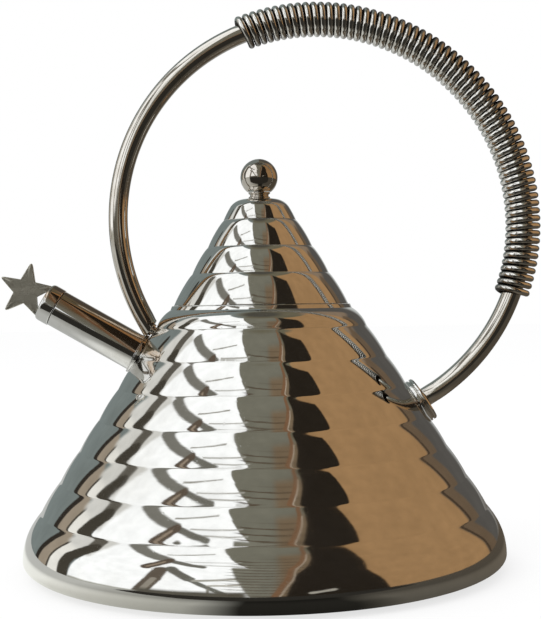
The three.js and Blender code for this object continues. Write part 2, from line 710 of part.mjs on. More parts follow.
// Middle of the spring's wire: turns round the rod, drawn in over the first and last curl
// until the wire rests on the rod, and a straight run of one wire diameter at each end
function coilRoute() {
  const steps = COIL_TURNS * STEPS_PER_CURL;
  const seatedRadius = ROD_RADIUS + SEAT_GAP + WIRE_RADIUS;
  const across = new THREE.Vector3(0, 1, 0);
  const route = [];
  for (let i = 0; i <= steps; i += 1) {
    const turns = i / STEPS_PER_CURL;
    const angle = COIL_START + (COIL_END - COIL_START) * i / steps;
    const fromEnd = Math.min(turns, COIL_TURNS - turns, 1);
    const radius = seatedRadius + (COIL_RADIUS - seatedRadius) * fromEnd;
    const outward = new THREE.Vector3(Math.cos(angle), 0, Math.sin(angle));
    const spin = 2 * Math.PI * turns;
    const spoke = outward.multiplyScalar(Math.cos(spin)).addScaledVector(across, Math.sin(spin));
    route.push({ point: ringPoint(angle).addScaledVector(spoke, radius), spoke });
  }
  const run = (end, next) => {
    const along = end.point.clone().sub(next.point).normalize();
    return { point: end.point.clone().addScaledVector(along, 2 * WIRE_RADIUS), spoke: end.spoke };
  };
  return [run(route[0], route[1]), ...route, run(route.at(-1), route.at(-2))];
}

// One unbroken tube of WIRE_SIDES sides along the route
function coilTube(route) {
  const places = [];
  const corners = [];
  route.forEach(({ point, spoke }, i) => {
    const before = route[Math.max(i - 1, 0)].point;
    const after = route[Math.min(i + 1, route.length - 1)].point;
    const along = after.clone().sub(before).normalize();
    const side = new THREE.Vector3().crossVectors(along, spoke).normalize();
    const top = new THREE.Vector3().crossVectors(side, along);
    for (let k = 0; k < WIRE_SIDES; k += 1) {
      const angle = k * 2 * Math.PI / WIRE_SIDES;
      const corner = point.clone()
        .addScaledVector(top, WIRE_RADIUS * Math.cos(angle))
        .addScaledVector(side, WIRE_RADIUS * Math.sin(angle));
      places.push(...corner.toArray());
      if (i === 0) continue;
      const here = i * WIRE_SIDES + k;
      const beside = i * WIRE_SIDES + (k + 1) % WIRE_SIDES;
      corners.push(here - WIRE_SIDES, here, beside, here - WIRE_SIDES, beside, beside - WIRE_SIDES);
    }
  });
  const last = (route.length - 1) * WIRE_SIDES;
  for (let k = 1; k + 1 < WIRE_SIDES; k += 1) {
    corners.push(0, k, k + 1, last, last + k + 1, last + k);
  }
  const geometry = new THREE.BufferGeometry();
  geometry.setAttribute('position', new THREE.Float32BufferAttribute(places, 3));
  geometry.setIndex(corners);
  return closed(geometry);
}

function addGrip() {
  const route = coilRoute();
  let closest = Infinity;
  for (let i = 0; i < route.length; i += 1) {
    for (let j = i + STEPS_PER_CURL / 2; j < route.length; j += 1) {
      closest = Math.min(closest, route[i].point.distanceTo(route[j].point));
    }
  }
  const gap = closest - 2 * WIRE_RADIUS;
  console.log(`grip_spring: ${COIL_TURNS} curls, least gap to itself ${gap.toFixed(2)} mm`);
  addPiece(kettle, 'grip_spring', coilTube(route), springSteel);
}

addBody();
addBase();
addMouthRing();
addLid();
addSpout();
addWhistle();
addHandle();
addFootFlange();
addClampStack(leftFoot, 'left');
addClampStack(rightFoot, 'right');
addGrip();

export default kettle;
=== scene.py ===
# %% [markdown]
# # A whistling kettle in mirror-polished steel
#
# The kettle is a wide cone of spun sheet with convex bands, a smaller banded cone for a lid, a
# ball knob, a straight spout with a star on its whistle, and a big ring handle with a coil
# spring as its grip. Everything that shows is polished steel, so what the eye reads is mostly
# the room in the metal. This lesson makes each surface finely enough to mirror that room, gives
# each finish its own wear, and then builds the room out of light.
#
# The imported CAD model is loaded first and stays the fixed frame. Every surface made here takes
# the place of one of its nodes and rides on the same body.

# %% Load the fixed frame
import json

import bmesh
import bpy
import numpy as np
from mathutils import Matrix, Vector

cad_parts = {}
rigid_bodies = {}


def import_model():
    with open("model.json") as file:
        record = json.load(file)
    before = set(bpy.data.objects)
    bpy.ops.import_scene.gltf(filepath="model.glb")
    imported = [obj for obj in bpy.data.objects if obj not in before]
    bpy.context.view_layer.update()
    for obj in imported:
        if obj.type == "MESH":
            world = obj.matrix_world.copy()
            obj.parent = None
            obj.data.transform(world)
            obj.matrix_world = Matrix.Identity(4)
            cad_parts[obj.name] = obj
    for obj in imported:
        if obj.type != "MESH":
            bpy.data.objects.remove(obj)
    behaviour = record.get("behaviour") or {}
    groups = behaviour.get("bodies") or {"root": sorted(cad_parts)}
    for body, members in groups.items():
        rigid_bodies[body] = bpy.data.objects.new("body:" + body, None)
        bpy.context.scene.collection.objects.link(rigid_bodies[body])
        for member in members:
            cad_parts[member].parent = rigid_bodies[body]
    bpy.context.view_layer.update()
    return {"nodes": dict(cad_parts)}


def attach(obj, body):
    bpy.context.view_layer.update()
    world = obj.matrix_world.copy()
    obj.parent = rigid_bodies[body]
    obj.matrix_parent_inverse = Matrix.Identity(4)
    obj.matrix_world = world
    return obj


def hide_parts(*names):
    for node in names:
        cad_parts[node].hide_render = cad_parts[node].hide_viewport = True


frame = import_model()
nodes = frame["nodes"]

# %% [markdown]
# ## The camera
#
# The picture was taken from about the height of the lid, some 58 cm in front, with a lens that
# is slightly long. The place, turn and roll come from fitting the outline of the kettle and the
# creases of its bands. A focal length in pixels becomes a focal length in millimetres on a
# 36 mm sensor, because the sensor's width is taken along the picture's long side.

# %% Camera fitted to the picture
MM = 0.001
PICTURE_LONG_SIDE, FOCAL_PIXELS, SENSOR = 619, 1244.3, 36.0
CAMERA_PLACE = np.array([0.0, -575.6, 119.1])
YAW, PITCH, ROLL = np.radians([0.43, -0.19, -0.92])


def camera_axes(yaw, pitch, roll):
    """Right, up and backward axes: forward = (sin yaw cos pitch, cos yaw cos pitch, sin pitch),
    and right and up are then turned about it by the roll."""
    forward = np.array([np.sin(yaw) * np.cos(pitch), np.cos(yaw) * np.cos(pitch), np.sin(pitch)])
    right = np.array([np.cos(yaw), -np.sin(yaw), 0.0])
    up = np.cross(right, forward)
    rolled_right = np.cos(roll) * right + np.sin(roll) * up
    rolled_up = np.cos(roll) * up - np.sin(roll) * right
    return rolled_right, rolled_up, -forward


def in_scene(name, data):
    """New object with the data given, linked into the scene."""
    thing = bpy.data.objects.new(name, data)
    bpy.context.scene.collection.objects.link(thing)
    return thing


camera = in_scene("camera", bpy.data.cameras.new("camera"))
camera.data.sensor_width = SENSOR
camera.data.lens = FOCAL_PIXELS / PICTURE_LONG_SIDE * SENSOR
turn = Matrix([list(axis) for axis in camera_axes(YAW, PITCH, ROLL)]).transposed()
camera.matrix_world = Matrix.Translation(CAMERA_PLACE * MM) @ turn.to_4x4()
bpy.context.scene.camera = camera
print(f"camera: lens {camera.data.lens:.2f} mm")

# %% [markdown]
# ## Helpers for surfaces
#
# Each piece is a grid of points in millimetres. A turned piece is a profile carried round an
# axis, and a bar is a ring carried along a path. Joining neighbouring points of the grid with
# quads makes the skin. Where a row of the grid shrinks to one point, merging the doubles closes
# the pole, and then the faces are turned outward.
#
# Real sheet metal and turned steel have no perfectly sharp edge, and a polished edge always
# catches a thin line of light. So every profile has its corners rounded before it is turned.

# %% Round the corners of a profile
EDGE_SHARE = 0.45


def rounded(corners, radius, steps=4):
    """Profile closed on itself with each corner P replaced by the curve
    Q(t) = (1-t)^2 A + 2t(1-t) P + t^2 B, where A and B lie on the two edges that meet at P, at
    the given distance from it but never past EDGE_SHARE of an edge."""
    corner = np.array(corners, float)
    before, after = np.roll(corner, 1, axis=0) - corner, np.roll(corner, -1, axis=0) - corner
    reach = np.broadcast_to(np.asarray(radius, float), len(corner))
    lengths = [np.linalg.norm(edge, axis=1) for edge in (before, after)]
    starts, ends = (
        corner + edge / length[:, None] * np.minimum(reach, EDGE_SHARE * length)[:, None]
        for edge, length in zip((before, after), lengths)
    )
    t = np.linspace(0, 1, steps + 1)[None, :, None]
    a, p, b = (points[:, None] for points in (starts, corner, ends))
    return ((1 - t) ** 2 * a + 2 * t * (1 - t) * p + t**2 * b).reshape(-1, 2)


def rounded_open(corners, radius, steps=4):
    """The same for a profile that starts and ends on the axis: its two ends stay as they are."""
    reach = np.full(len(corners), radius, float)
    reach[[0, -1]] = 0
    return rounded(corners, reach, steps)[steps:-steps]


def block(inner, outer, low, high):
    """Profile of a plain ring, or of a plain cylinder where the inner radius is 0."""
    return [[inner, low], [outer, low], [outer, high], [inner, high]]


# %% Turn a profile and put it in place
SIDES, BODY_SIDES, LID_SIDES, BASE_SIDES, MOUTH_SIDES = 96, 256, 224, 192, 160


def turned(profile, sides):
    """Surface of revolution: point (i, j) is (r_i cos a_j, r_i sin a_j, h_i), with a_j even
    round the circle."""
    radius, height = np.asarray(profile, float).T
    angle = np.arange(sides) * 2 * np.pi / sides
    grid = np.empty((len(radius), sides, 3))
    grid[..., 0] = radius[:, None] * np.cos(angle)
    grid[..., 1] = radius[:, None] * np.sin(angle)
    grid[..., 2] = height[:, None]
    return grid


def placed(grid, origin, lean):
    """Turns points about +Y by `lean`, which tips the local +Z towards +X, and moves them to
    the origin given: x' = x cos + z sin, z' = z cos - x sin."""
    x, y, z = np.moveaxis(np.asarray(grid, float), -1, 0)
    sine, cosine = np.sin(lean), np.cos(lean)
    leaned = np.stack([x * cosine + z * sine, y, z * cosine - x * sine], -1)
    return leaned + np.asarray(origin, float)


# %% Make a closed skin from a grid of points
SHARP = 32


def close_up(mesh, sharp=SHARP):
    """Merges doubles, turns the faces outward and shades the skin smooth but for crisp edges."""
    work = bmesh.new()
    work.from_mesh(mesh)
    bmesh.ops.remove_doubles(work, verts=work.verts, dist=1e-7)
    bmesh.ops.recalc_face_normals(work, faces=work.faces)
    work.to_mesh(mesh)
    work.free()
    mesh.shade_smooth()
    mesh.set_sharp_from_angle(angle=np.radians(sharp))


def skin(name, grid, loop=False, sharp=SHARP):
    """Mesh object from a grid of (rows, sides) points in millimetres. Quads join each point to
    its neighbours, round and round the sides, and with `loop` from the last row back to the
    first. Edges that turn by more than `sharp` degrees stay crisp."""
    rows, sides = grid.shape[:2]
    index = np.arange(rows * sides).reshape(rows, sides)
    here = index if loop else index[:-1]
    below = np.roll(index, -1, axis=0) if loop else index[1:]
    quads = np.stack([here, np.roll(here, -1, 1), np.roll(below, -1, 1), below], -1).reshape(-1, 4)
    mesh = bpy.data.meshes.new(name)
    mesh.vertices.add(rows * sides)
    mesh.vertices.foreach_set("co", (grid.reshape(-1, 3) * MM).astype(np.float32).ravel())
    mesh.loops.add(quads.size)
    mesh.loops.foreach_set("vertex_index", quads.ravel().astype(np.int32))
    mesh.polygons.add(len(quads))
    mesh.polygons.foreach_set("loop_start", np.arange(0, quads.size, 4, dtype=np.int32))
    mesh.update(calc_edges=True)
    close_up(mesh, sharp)
    return in_scene(name, mesh)


def lathe(name, profile, origin=(0, 0, 0), lean=0.0, sides=SIDES, loop=True):
    """Skin turned from a profile about an axis that leans by `lean` at the origin given."""
    return skin(name, placed(turned(profile, sides), origin, lean), loop)


def dress(piece, body, material):
    """Lets a finished piece ride on its body, stand for its CAD node and wear its material."""
    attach(piece, body)
    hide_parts(piece.name.removesuffix("_fine"))
    piece.data.materials.clear()
    piece.data.materials.append(material)
    triangles = sum(len(face.vertices) - 2 for face in piece.data.polygons)
    print(f"{piece.name}: {triangles} triangles")


# %% Cut holes and slots
def cut(piece, cutters):
    """Subtracts closed skins from a piece and drops them. The cut is applied to the mesh."""
    for cutter in cutters:
        tool = piece.modifiers.new("cut", "BOOLEAN")
        tool.object = cutter
        tool.solver = "EXACT"
    evaluated = piece.evaluated_get(bpy.context.evaluated_depsgraph_get())
    mesh = bpy.data.meshes.new_from_object(evaluated)
    piece.modifiers.clear()
    piece.data = mesh
    for cutter in cutters:
        bpy.data.objects.remove(cutter)
    close_up(mesh)


# %% [markdown]
# ## Node groups for metal
#
# A polished surface is never quite even. The sheet was spun over a form, so it keeps very faint
# rings and a slow waviness; the buffing wheel leaves patches that are a little hazier; and use
# adds fine scratches in every direction. Three small groups hold these effects, and each finish
# calls them with its own sizes, so that a ball, a bar and a sheet share the same logic.

# %% A little language for node trees
def new_group(name, inputs, outputs):
    """Empty shader group with float or vector inputs (name, value) and float outputs."""
    group = bpy.data.node_groups.new(name, "ShaderNodeTree")
    for label, value in inputs:
        kind = "NodeSocketVector" if value is None else "NodeSocketFloat"
        socket = group.interface.new_socket(name=label, in_out="INPUT", socket_type=kind)
        if value is not None:
            socket.default_value = value
    for label in outputs:
        group.interface.new_socket(name=label, in_out="OUTPUT", socket_type="NodeSocketFloat")
    taken, given = group.nodes.new("NodeGroupInput"), group.nodes.new("NodeGroupOutput")
    print("node group:", name)
    return group, taken.outputs, given.inputs


def add(tree, kind, inputs=(), **settings):
    """Adds a node, sets its properties, and fills its inputs from sockets or plain values."""
    node = tree.nodes.new(kind)
    for label, value in settings.items():
        setattr(node, label, value)
    for socket, value in dict(inputs).items():
        if isinstance(value, bpy.types.NodeSocket):
            tree.links.new(value, node.inputs[socket])
        else:
            node.inputs[socket].default_value = value
    return node


def call(tree, group, inputs):
    """Outputs of a node that runs a group with these inputs."""
    return add(tree, "ShaderNodeGroup", inputs, node_tree=group).outputs


def maths(tree, operation, *values):
    """One step of arithmetic between sockets and numbers."""
    return add(tree, "ShaderNodeMath", dict(enumerate(values)), operation=operation).outputs[0]


def vectors(tree, operation, inputs, output="Vector"):
    """One step of arithmetic between vectors."""
    return add(tree, "ShaderNodeVectorMath", inputs, operation=operation).outputs[output]


def hypotenuse(tree, first, second):
    """sqrt(a^2 + b^2) of two sockets."""
    squares = [maths(tree, "MULTIPLY", side, side) for side in (first, second)]
    return maths(tree, "SQRT", maths(tree, "ADD", *squares))


def spread(tree, value, low, high, to_low=0.0, to_high=1.0, smooth=True):
    """Maps low..high to to_low..to_high and stops at both ends, with soft shoulders if smooth."""
    return add(tree, "ShaderNodeMapRange", {
        "Value": value, "From Min": low, "From Max": high, "To Min": to_low, "To Max": to_high,
    }, interpolation_type="SMOOTHSTEP" if smooth else "LINEAR").outputs["Result"]


def between(tree, mask, first, second):
    """Number that runs from the first to the second with the mask."""
    return spread(tree, mask, 0.0, 1.0, first, second, smooth=False)


def bearing_of(tree, x, y):
    """Degrees from -Y towards +X."""
    return maths(tree, "DEGREES", maths(tree, "ARCTAN2", x, maths(tree, "MULTIPLY", y, -1.0)))


def noise(tree, place, scale, detail, rough=0.5):
    """Value of a noise at a place."""
    return add(tree, "ShaderNodeTexNoise", {
        "Vector": place, "Scale": scale, "Detail": detail, "Roughness": rough}).outputs["Fac"]


def parts_of(tree, vector):
    """X, Y and Z of a vector."""
    return add(tree, "ShaderNodeSeparateXYZ", {"Vector": vector}).outputs


def joined(tree, **parts):
    """A vector from its X, Y and Z, where a part left out is 0."""
    return add(tree, "ShaderNodeCombineXYZ", parts).outputs[0]


def blend(tree, factor, first, second):
    """Colour that runs from the first to the second. Each is a socket or (red, green, blue)."""
    ends = [shade if isinstance(shade, bpy.types.NodeSocket) else (*shade, 1.0)
            for shade in (first, second)]
    return add(tree, "ShaderNodeMix", {"Factor": factor, 6: ends[0], 7: ends[1]},
               data_type="RGBA").outputs[2]


def object_place(tree):
    """Object coordinates."""
    return add(tree, "ShaderNodeTexCoord").outputs["Object"]


def about(tree, centre, lean=0.0):
    """Object coordinates about a centre (mm), in a frame that leans by `lean` about +Y."""
    return add(tree, "ShaderNodeMapping", {
        "Vector": object_place(tree), "Location": tuple(np.array(centre, float) * MM),
        "Rotation": (0.0, lean, 0.0),
    }, vector_type="TEXTURE").outputs["Vector"]


def new_material(name):
    """Empty material and its node tree."""
    material = bpy.data.materials.new(name)
    material.use_nodes = True
    material.node_tree.nodes.clear()
    print("finish:", name)
    return material, material.node_tree


def coat(tree, inputs):
    """Principled surface of a material."""
    shader = add(tree, "ShaderNodeBsdfPrincipled", inputs)
    add(tree, "ShaderNodeOutputMaterial", {"Surface": shader.outputs["BSDF"]})


# %% Buffing haze: patches that are slightly duller
haze_group, haze_in, haze_out = new_group(
    "buffing_haze", [("Place", None), ("Patch", 60.0), ("Bright", 0.03), ("Dull", 0.10)],
    ["Roughness", "Mask"])
patches = noise(haze_group, haze_in["Place"], haze_in["Patch"], 5.0, 0.62)
mask = spread(haze_group, patches, 0.42, 0.72)
haze_group.links.new(mask, haze_out["Mask"])
haze_group.links.new(
    between(haze_group, mask, haze_in["Bright"], haze_in["Dull"]), haze_out["Roughness"])

# %% Fine scratches: long thin noise laid in four directions
scratch_group, scratch_in, scratch_out = new_group(
    "fine_scratches", [("Place", None), ("Scale", 40.0), ("Share", 0.5)], ["Mask"])
SCRATCH_TURNS = ((20, 35, 10), (-50, 15, 70), (65, -40, 120), (10, 80, -30))
SCRATCH_STRETCH = (14.0, 1.0, 14.0)
total = None
for turned_by in SCRATCH_TURNS:
    laid = add(scratch_group, "ShaderNodeMapping", {
        "Vector": scratch_in["Place"], "Rotation": tuple(np.radians(turned_by)),
        "Scale": SCRATCH_STRETCH,
    }).outputs["Vector"]
    lines = spread(scratch_group, noise(scratch_group, laid, scratch_in["Scale"], 2.0), 0.70, 0.78)
    total = maths(scratch_group, "MAXIMUM", total, lines) if total else lines
sparse = spread(scratch_group, noise(scratch_group, scratch_in["Place"], 55.0, 2.0), 0.4, 0.65)
total = maths(scratch_group, "MULTIPLY", total, sparse)
scratch_group.links.new(
    maths(scratch_group, "MULTIPLY", total, scratch_in["Share"]), scratch_out["Mask"])

# %% Spun rings: faint grooves round the axis, and a slow waviness of the sheet
ring_group, ring_in, ring_out = new_group(
    "spun_rings", [("Place", None), ("Rings", 900.0), ("Wave", 30.0), ("Fine share", 0.15)],
    ["Height"])
ring_x, ring_y, ring_z = parts_of(ring_group, ring_in["Place"])
radial = joined(ring_group, X=hypotenuse(ring_group, ring_x, ring_y), Z=ring_z)
fine = noise(ring_group, radial, ring_in["Rings"], 2.0)
slow = noise(ring_group, ring_in["Place"], ring_in["Wave"], 1.0)
height = maths(ring_group, "MULTIPLY_ADD", fine, ring_in["Fine share"], slow)
ring_group.links.new(height, ring_out["Height"])


# %% A metal finish from those groups
SCRATCH_ROUGHNESS, SCRATCH_RELIEF = 0.25, -0.3


def metal(name, tints, patch, bright, dull, rings, wave, fine_share=0.15, relief=0.05,
          depth=0.0004, scratches=0.5, scratch_scale=40.0, centre=(0, 0, 0), lean=0.0):
    """Polished or satin metal. `tints` are the clean and the tarnished colour, `bright` and
    `dull` the roughness between which the haze moves, `relief` and `depth` the bump's strength
    and height (metres), and `centre` (mm) and `lean` (radians about +Y) the axis that the piece
    was turned on."""
    material, tree = new_material(name)
    place = object_place(tree)
    haze = call(tree, haze_group, {"Place": place, "Patch": patch, "Bright": bright, "Dull": dull})
    marks = call(tree, scratch_group, {"Place": place, "Scale": scratch_scale, "Share": scratches})
    spun = call(tree, ring_group, {"Place": about(tree, centre, lean), "Rings": rings,
                                   "Wave": wave, "Fine share": fine_share})
    rough = maths(tree, "MULTIPLY_ADD", marks["Mask"], SCRATCH_ROUGHNESS, haze["Roughness"])
    height = maths(tree, "MULTIPLY_ADD", marks["Mask"], SCRATCH_RELIEF, spun["Height"])
    bump = add(tree, "ShaderNodeBump", {"Height": height, "Strength": relief, "Distance": depth})
    coat(tree, {"Base Color": blend(tree, haze["Mask"], *tints), "Metallic": 1.0,
                "Roughness": rough, "Normal": bump.outputs["Normal"]})
    return material


def painted_light_over(material, mask, shade, rough=None):
    """Lays painted light or shade, a colour and a roughness if one is given, over a finish where
    the mask is 1.
    """
    tree = material.node_tree
    shader = next(node for node in tree.nodes if node.type == "BSDF_PRINCIPLED").inputs
    clean, smooth = (shader[label].links[0].from_socket for label in ("Base Color", "Roughness"))
    tree.links.new(blend(tree, mask, clean, shade), shader["Base Color"])
    if rough is not None:
        tree.links.new(between(tree, mask, smooth, rough), shader["Roughness"])


# %% [markdown]
# ## The banded body
#
# The body is spun from one sheet: a cone whose wall is pressed into seven creases, with a
# convex band between each two. The band's crest lies on the cone and its creases half a
# millimetre below it, which doesn't sound like much, but it swings the reflection by fourteen
# degrees each way. That swing is what makes the saw-tooth pattern in the metal.
#
# It could be made by sculpting or by displacing a cone, but a mirror shows every facet. So the
# profile is worked out as a formula, with many points near the creases, where it turns fastest.

# %% Sizes of the body in millimetres, as in the CAD source but for two
CONE_ANGLE = np.radians(32.85)
BASE_RADIUS, EDGE_ROUND, EDGE_HEIGHT, EDGE_TUCK = 110.0, 28.1, 6.6, 12.4
BASE_LIFT, BASE_LIP, LIP_RETURN, WALL, SEAT_GAP = 0.5, 9.0, 4.0, 0.8, 0.3
SHOULDER_RADIUS, SHOULDER_ROUND, NECK_INSET, NECK_TAPER, NECK_RISE = 46.9, 8.0, 5.1, 0.7, 3.3
CREASES, FIRST_SLANT, LAST_SLANT, BAND_BULGE = 7, 3.7, 6.2, 0.5
MOUTH_LIP = 4.7

# The picture shows the creases and the shoulder softer than the CAD source has them.
CREASE_ROUND, SHOULDER_SOFT = 0.4, 16.0

cone_sin, cone_cos = np.sin(CONE_ANGLE), np.cos(CONE_ANGLE)
turn_radius = BASE_RADIUS - EDGE_ROUND * (1 - cone_cos)
turn_height = EDGE_HEIGHT + EDGE_ROUND * cone_sin
cone_slant = (turn_radius - SHOULDER_RADIUS) / cone_sin
shoulder_height = turn_height + cone_slant * cone_cos
band_slant = (cone_slant - FIRST_SLANT - LAST_SLANT) / (CREASES - 1)
creases = FIRST_SLANT + band_slant * np.arange(CREASES)
cone_marks = np.concatenate([[0], creases, [cone_slant]])
band_half = np.diff(cone_marks) / 2
band_half[[0, -1]] *= 2
print(f"body: cone from {shoulder_height:.2f} mm down, bands {band_slant:.2f} mm wide")


# %% The cone and its bands as formulas
def cone_at(along, out):
    """Point of the cone's slant: `along` runs down it from the shoulder, `out` leaves it."""
    return np.stack([
        SHOULDER_RADIUS + along * cone_sin + out * cone_cos,
        shoulder_height - along * cone_cos + out * cone_sin,
    ], -1)


def band_fall(along):
    """How far the banded skin lies below the slant. With u the distance to the nearest crease,
    softened to sqrt(u^2 + w^2), and h the distance from crease to crest, the fall is
    bulge (1 - u / h)^2."""
    along = np.asarray(along, float)
    u = np.sqrt(np.abs(along[..., None] - creases).min(-1) ** 2 + CREASE_ROUND**2)
    band = np.clip(np.searchsorted(cone_marks, along, side="right") - 1, 0, len(band_half) - 1)
    return BAND_BULGE * np.clip(1 - u / band_half[band], 0, None) ** 2


def spaced(marks, count):
    """Distances along a banded slant, `count` to a band and crowded towards its creases."""
    share = 0.5 - 0.5 * np.cos(np.pi * np.arange(count) / count)
    return (marks[:-1, None] + np.diff(marks)[:, None] * share).ravel()


def arc(centre, radii, start, end, count):
    """Points of an elliptical arc: centre + (a cos t, b sin t)."""
    t = np.linspace(start, end, count)
    return np.stack([centre[0] + radii[0] * np.cos(t), centre[1] + radii[1] * np.sin(t)], -1)


# %% The body's profile, outside and inside
shoulder_centre = cone_at(0.0, -SHOULDER_ROUND)
neck_radius = SHOULDER_RADIUS - NECK_INSET
mouth_radius = neck_radius - NECK_TAPER
mouth_bore = mouth_radius - MOUTH_LIP
neck_angle = np.arccos((neck_radius - shoulder_centre[0]) / SHOULDER_ROUND)
mouth_height = shoulder_centre[1] + SHOULDER_ROUND * np.sin(neck_angle) + NECK_RISE
soft_centre = cone_at(0.0, -SHOULDER_SOFT)
neck_low = soft_centre[1] + np.sqrt(SHOULDER_SOFT**2 - (neck_radius - soft_centre[0]) ** 2)


def body_side(out, bands, arcs):
    """The body's side from the mouth down to its lip, moved outward by `out`, with so many
    points to a band and to an arc."""
    slant = spaced(cone_marks, bands)
    angle = np.arccos((neck_radius + out - soft_centre[0]) / (SHOULDER_SOFT + out))
    return np.concatenate([
        arc(soft_centre, [SHOULDER_SOFT + out] * 2, angle, CONE_ANGLE, arcs)[:-1],
        cone_at(slant, out - band_fall(slant)),
        arc([BASE_RADIUS - EDGE_ROUND, EDGE_HEIGHT], [EDGE_ROUND + out] * 2,
            CONE_ANGLE, 0, 2 * arcs),
        arc([BASE_RADIUS - EDGE_TUCK, EDGE_HEIGHT],
            [EDGE_TUCK + out, EDGE_HEIGHT - BASE_LIFT + out], 0, -np.pi / 2, 2 * arcs)[1:],
    ])


rim = mouth_bore + WALL
base_lip = BASE_RADIUS - EDGE_TUCK - BASE_LIP
body_profile = np.concatenate([
    rounded_open([[rim, mouth_height - WALL / 2], [rim, mouth_height],
                  [mouth_radius, mouth_height], [neck_radius, neck_low]], 0.3)[:-1],
    body_side(0.0, 22, 12),
    rounded_open([[base_lip + LIP_RETURN, BASE_LIFT], [base_lip, BASE_LIFT],
                  [base_lip, BASE_LIFT + WALL], [base_lip + LIP_RETURN, BASE_LIFT + WALL]], 0.3),
    body_side(-WALL, 5, 6)[::-1],
    [[rim, mouth_height - WALL]],
])
print(f"mouth at {mouth_height:.2f} mm, profile of {len(body_profile)} points")

# %% [markdown]
# ## Places of the spout and the feet
#
# The spout's axis leaves the cone 22 mm below the mouth. A foot of the handle stands square on
# the cone, so its frame leans with the wall. These frames put the small pieces where the CAD
# source has them.

# %% Frames of the spout and the two feet
SPOUT_RISE, SPOUT_DROP, SPOUT_LENGTH, SPOUT_RADIUS = np.radians(30.3), 22.0, 43.4, 8.65
FOOT_STEP, LEFT_FOOT_ANGLE = 12.85, np.radians(211.5)
RING_RADIUS, RING_OVAL, ROD_RADIUS = 93.6, 0.96, 4.4
SPIGOT_HEIGHT, FOOT_FLANGE_HEIGHT = 1.0, 3.3
Y_AXIS = np.array([0.0, 1.0, 0.0])


def cone_radius_at(height):
    """Radius of the plain cone at a height."""
    return SHOULDER_RADIUS + (shoulder_height - height) * cone_sin / cone_cos


def ring_spoke(angle):
    """From the ring's centre to its centre line: radius R - oval sin(2 angle), in the XZ plane."""
    radius = RING_RADIUS - RING_OVAL * np.sin(2 * np.asarray(angle, float))
    return np.stack([radius * np.cos(angle), 0 * radius, radius * np.sin(angle)], -1)


spout_height = mouth_height - SPOUT_DROP
spout_root = np.array([-cone_radius_at(spout_height), 0, spout_height])
spout_lean = SPOUT_RISE - np.pi / 2
spout_axis = np.array([np.sin(spout_lean), 0, np.cos(spout_lean)])
left_height = spout_height + FOOT_STEP * cone_cos
left_foot = np.array([-cone_radius_at(left_height), 0, left_height])
left_normal, right_normal = np.array([-cone_cos, 0, cone_sin]), np.array([cone_cos, 0, cone_sin])
left_seat, right_seat = SPIGOT_HEIGHT + SEAT_GAP, FOOT_FLANGE_HEIGHT + SEAT_GAP
ring_centre = left_foot + left_normal * left_seat - ring_spoke(LEFT_FOOT_ANGLE)


def ring_point(angle):
    """Centre line of the handle."""
    return ring_centre + ring_spoke(angle)


def foot_angle(low, high, height):
    """Halves the interval between an angle inside the cone and one outside it until the ring
    passes at `height` above the cone."""
    for _ in range(50):
        middle = (low + high) / 2
        x, _y, z = ring_point(middle)
        outside = abs(x) > cone_radius_at(z) + height / cone_cos
        low, high = (low, middle) if outside else (middle, high)
    return (low + high) / 2


right_angle = foot_angle(-np.pi / 2, np.pi / 2, right_seat)
right_foot = ring_point(right_angle) - right_normal * right_seat
foot_lean = np.pi / 2 - CONE_ANGLE
print("left foot", left_foot.round(2), "right foot", right_foot.round(2))


# %% Lower a piece onto the banded cone
def height_over_body(points):
    """Distance of points from the banded skin, measured square to the cone."""
    x, y, z = np.moveaxis(points, -1, 0)
    r = np.hypot(x, y) - SHOULDER_RADIUS
    h = z - shoulder_height
    along = r * cone_sin - h * cone_cos
    return r * cone_cos + h * cone_sin + band_fall(along)


def lowered(points, axis, gap):
    """Slides points along an axis until they lie `gap` above the body. Twenty-four halvings of a
    16 mm interval are worked out for all points at once."""
    low, high = np.full(points.shape[:-1], -10.0), np.full(points.shape[:-1], 6.0)
    for _ in range(24):
        middle = (low + high) / 2
        above = height_over_body(points + middle[..., None] * axis) > gap
        high, low = np.where(above, middle, high), np.where(above, low, middle)
    return points + ((low + high) / 2)[..., None] * axis


# %% Make the body and cut its three holes
STEEL, TARNISH = (0.80, 0.79, 0.765), (0.74, 0.725, 0.69)
SPOUT_HOLE, STUD_HOLE, CUT_REACH = 8.95, 2.3, 6
body_steel = metal("body_steel", (STEEL, TARNISH), patch=28.0, bright=0.035, dull=0.075,
                   rings=700.0, wave=26.0, depth=0.0006, scratches=0.35)
body = lathe("body_shell_fine", body_profile, sides=BODY_SIDES)
cut(body, [
    lathe(name, block(0, radius, -CUT_REACH, CUT_REACH), origin, lean, sides, loop=False)
    for name, radius, origin, lean, sides in (
        ("spout_hole", SPOUT_HOLE, spout_root, spout_lean, 64),
        ("left_hole", STUD_HOLE, left_foot, -foot_lean, 32),
        ("right_hole", STUD_HOLE, right_foot, foot_lean, 32))
])
dress(body, "kettle", body_steel)

# %% [markdown]
# ## The lid and its knob
#
# The lid repeats the body's idea on a smaller cone: three creases, and a crown that rounds in
# to the flat seat of the knob. The ball stands on a ringed neck.

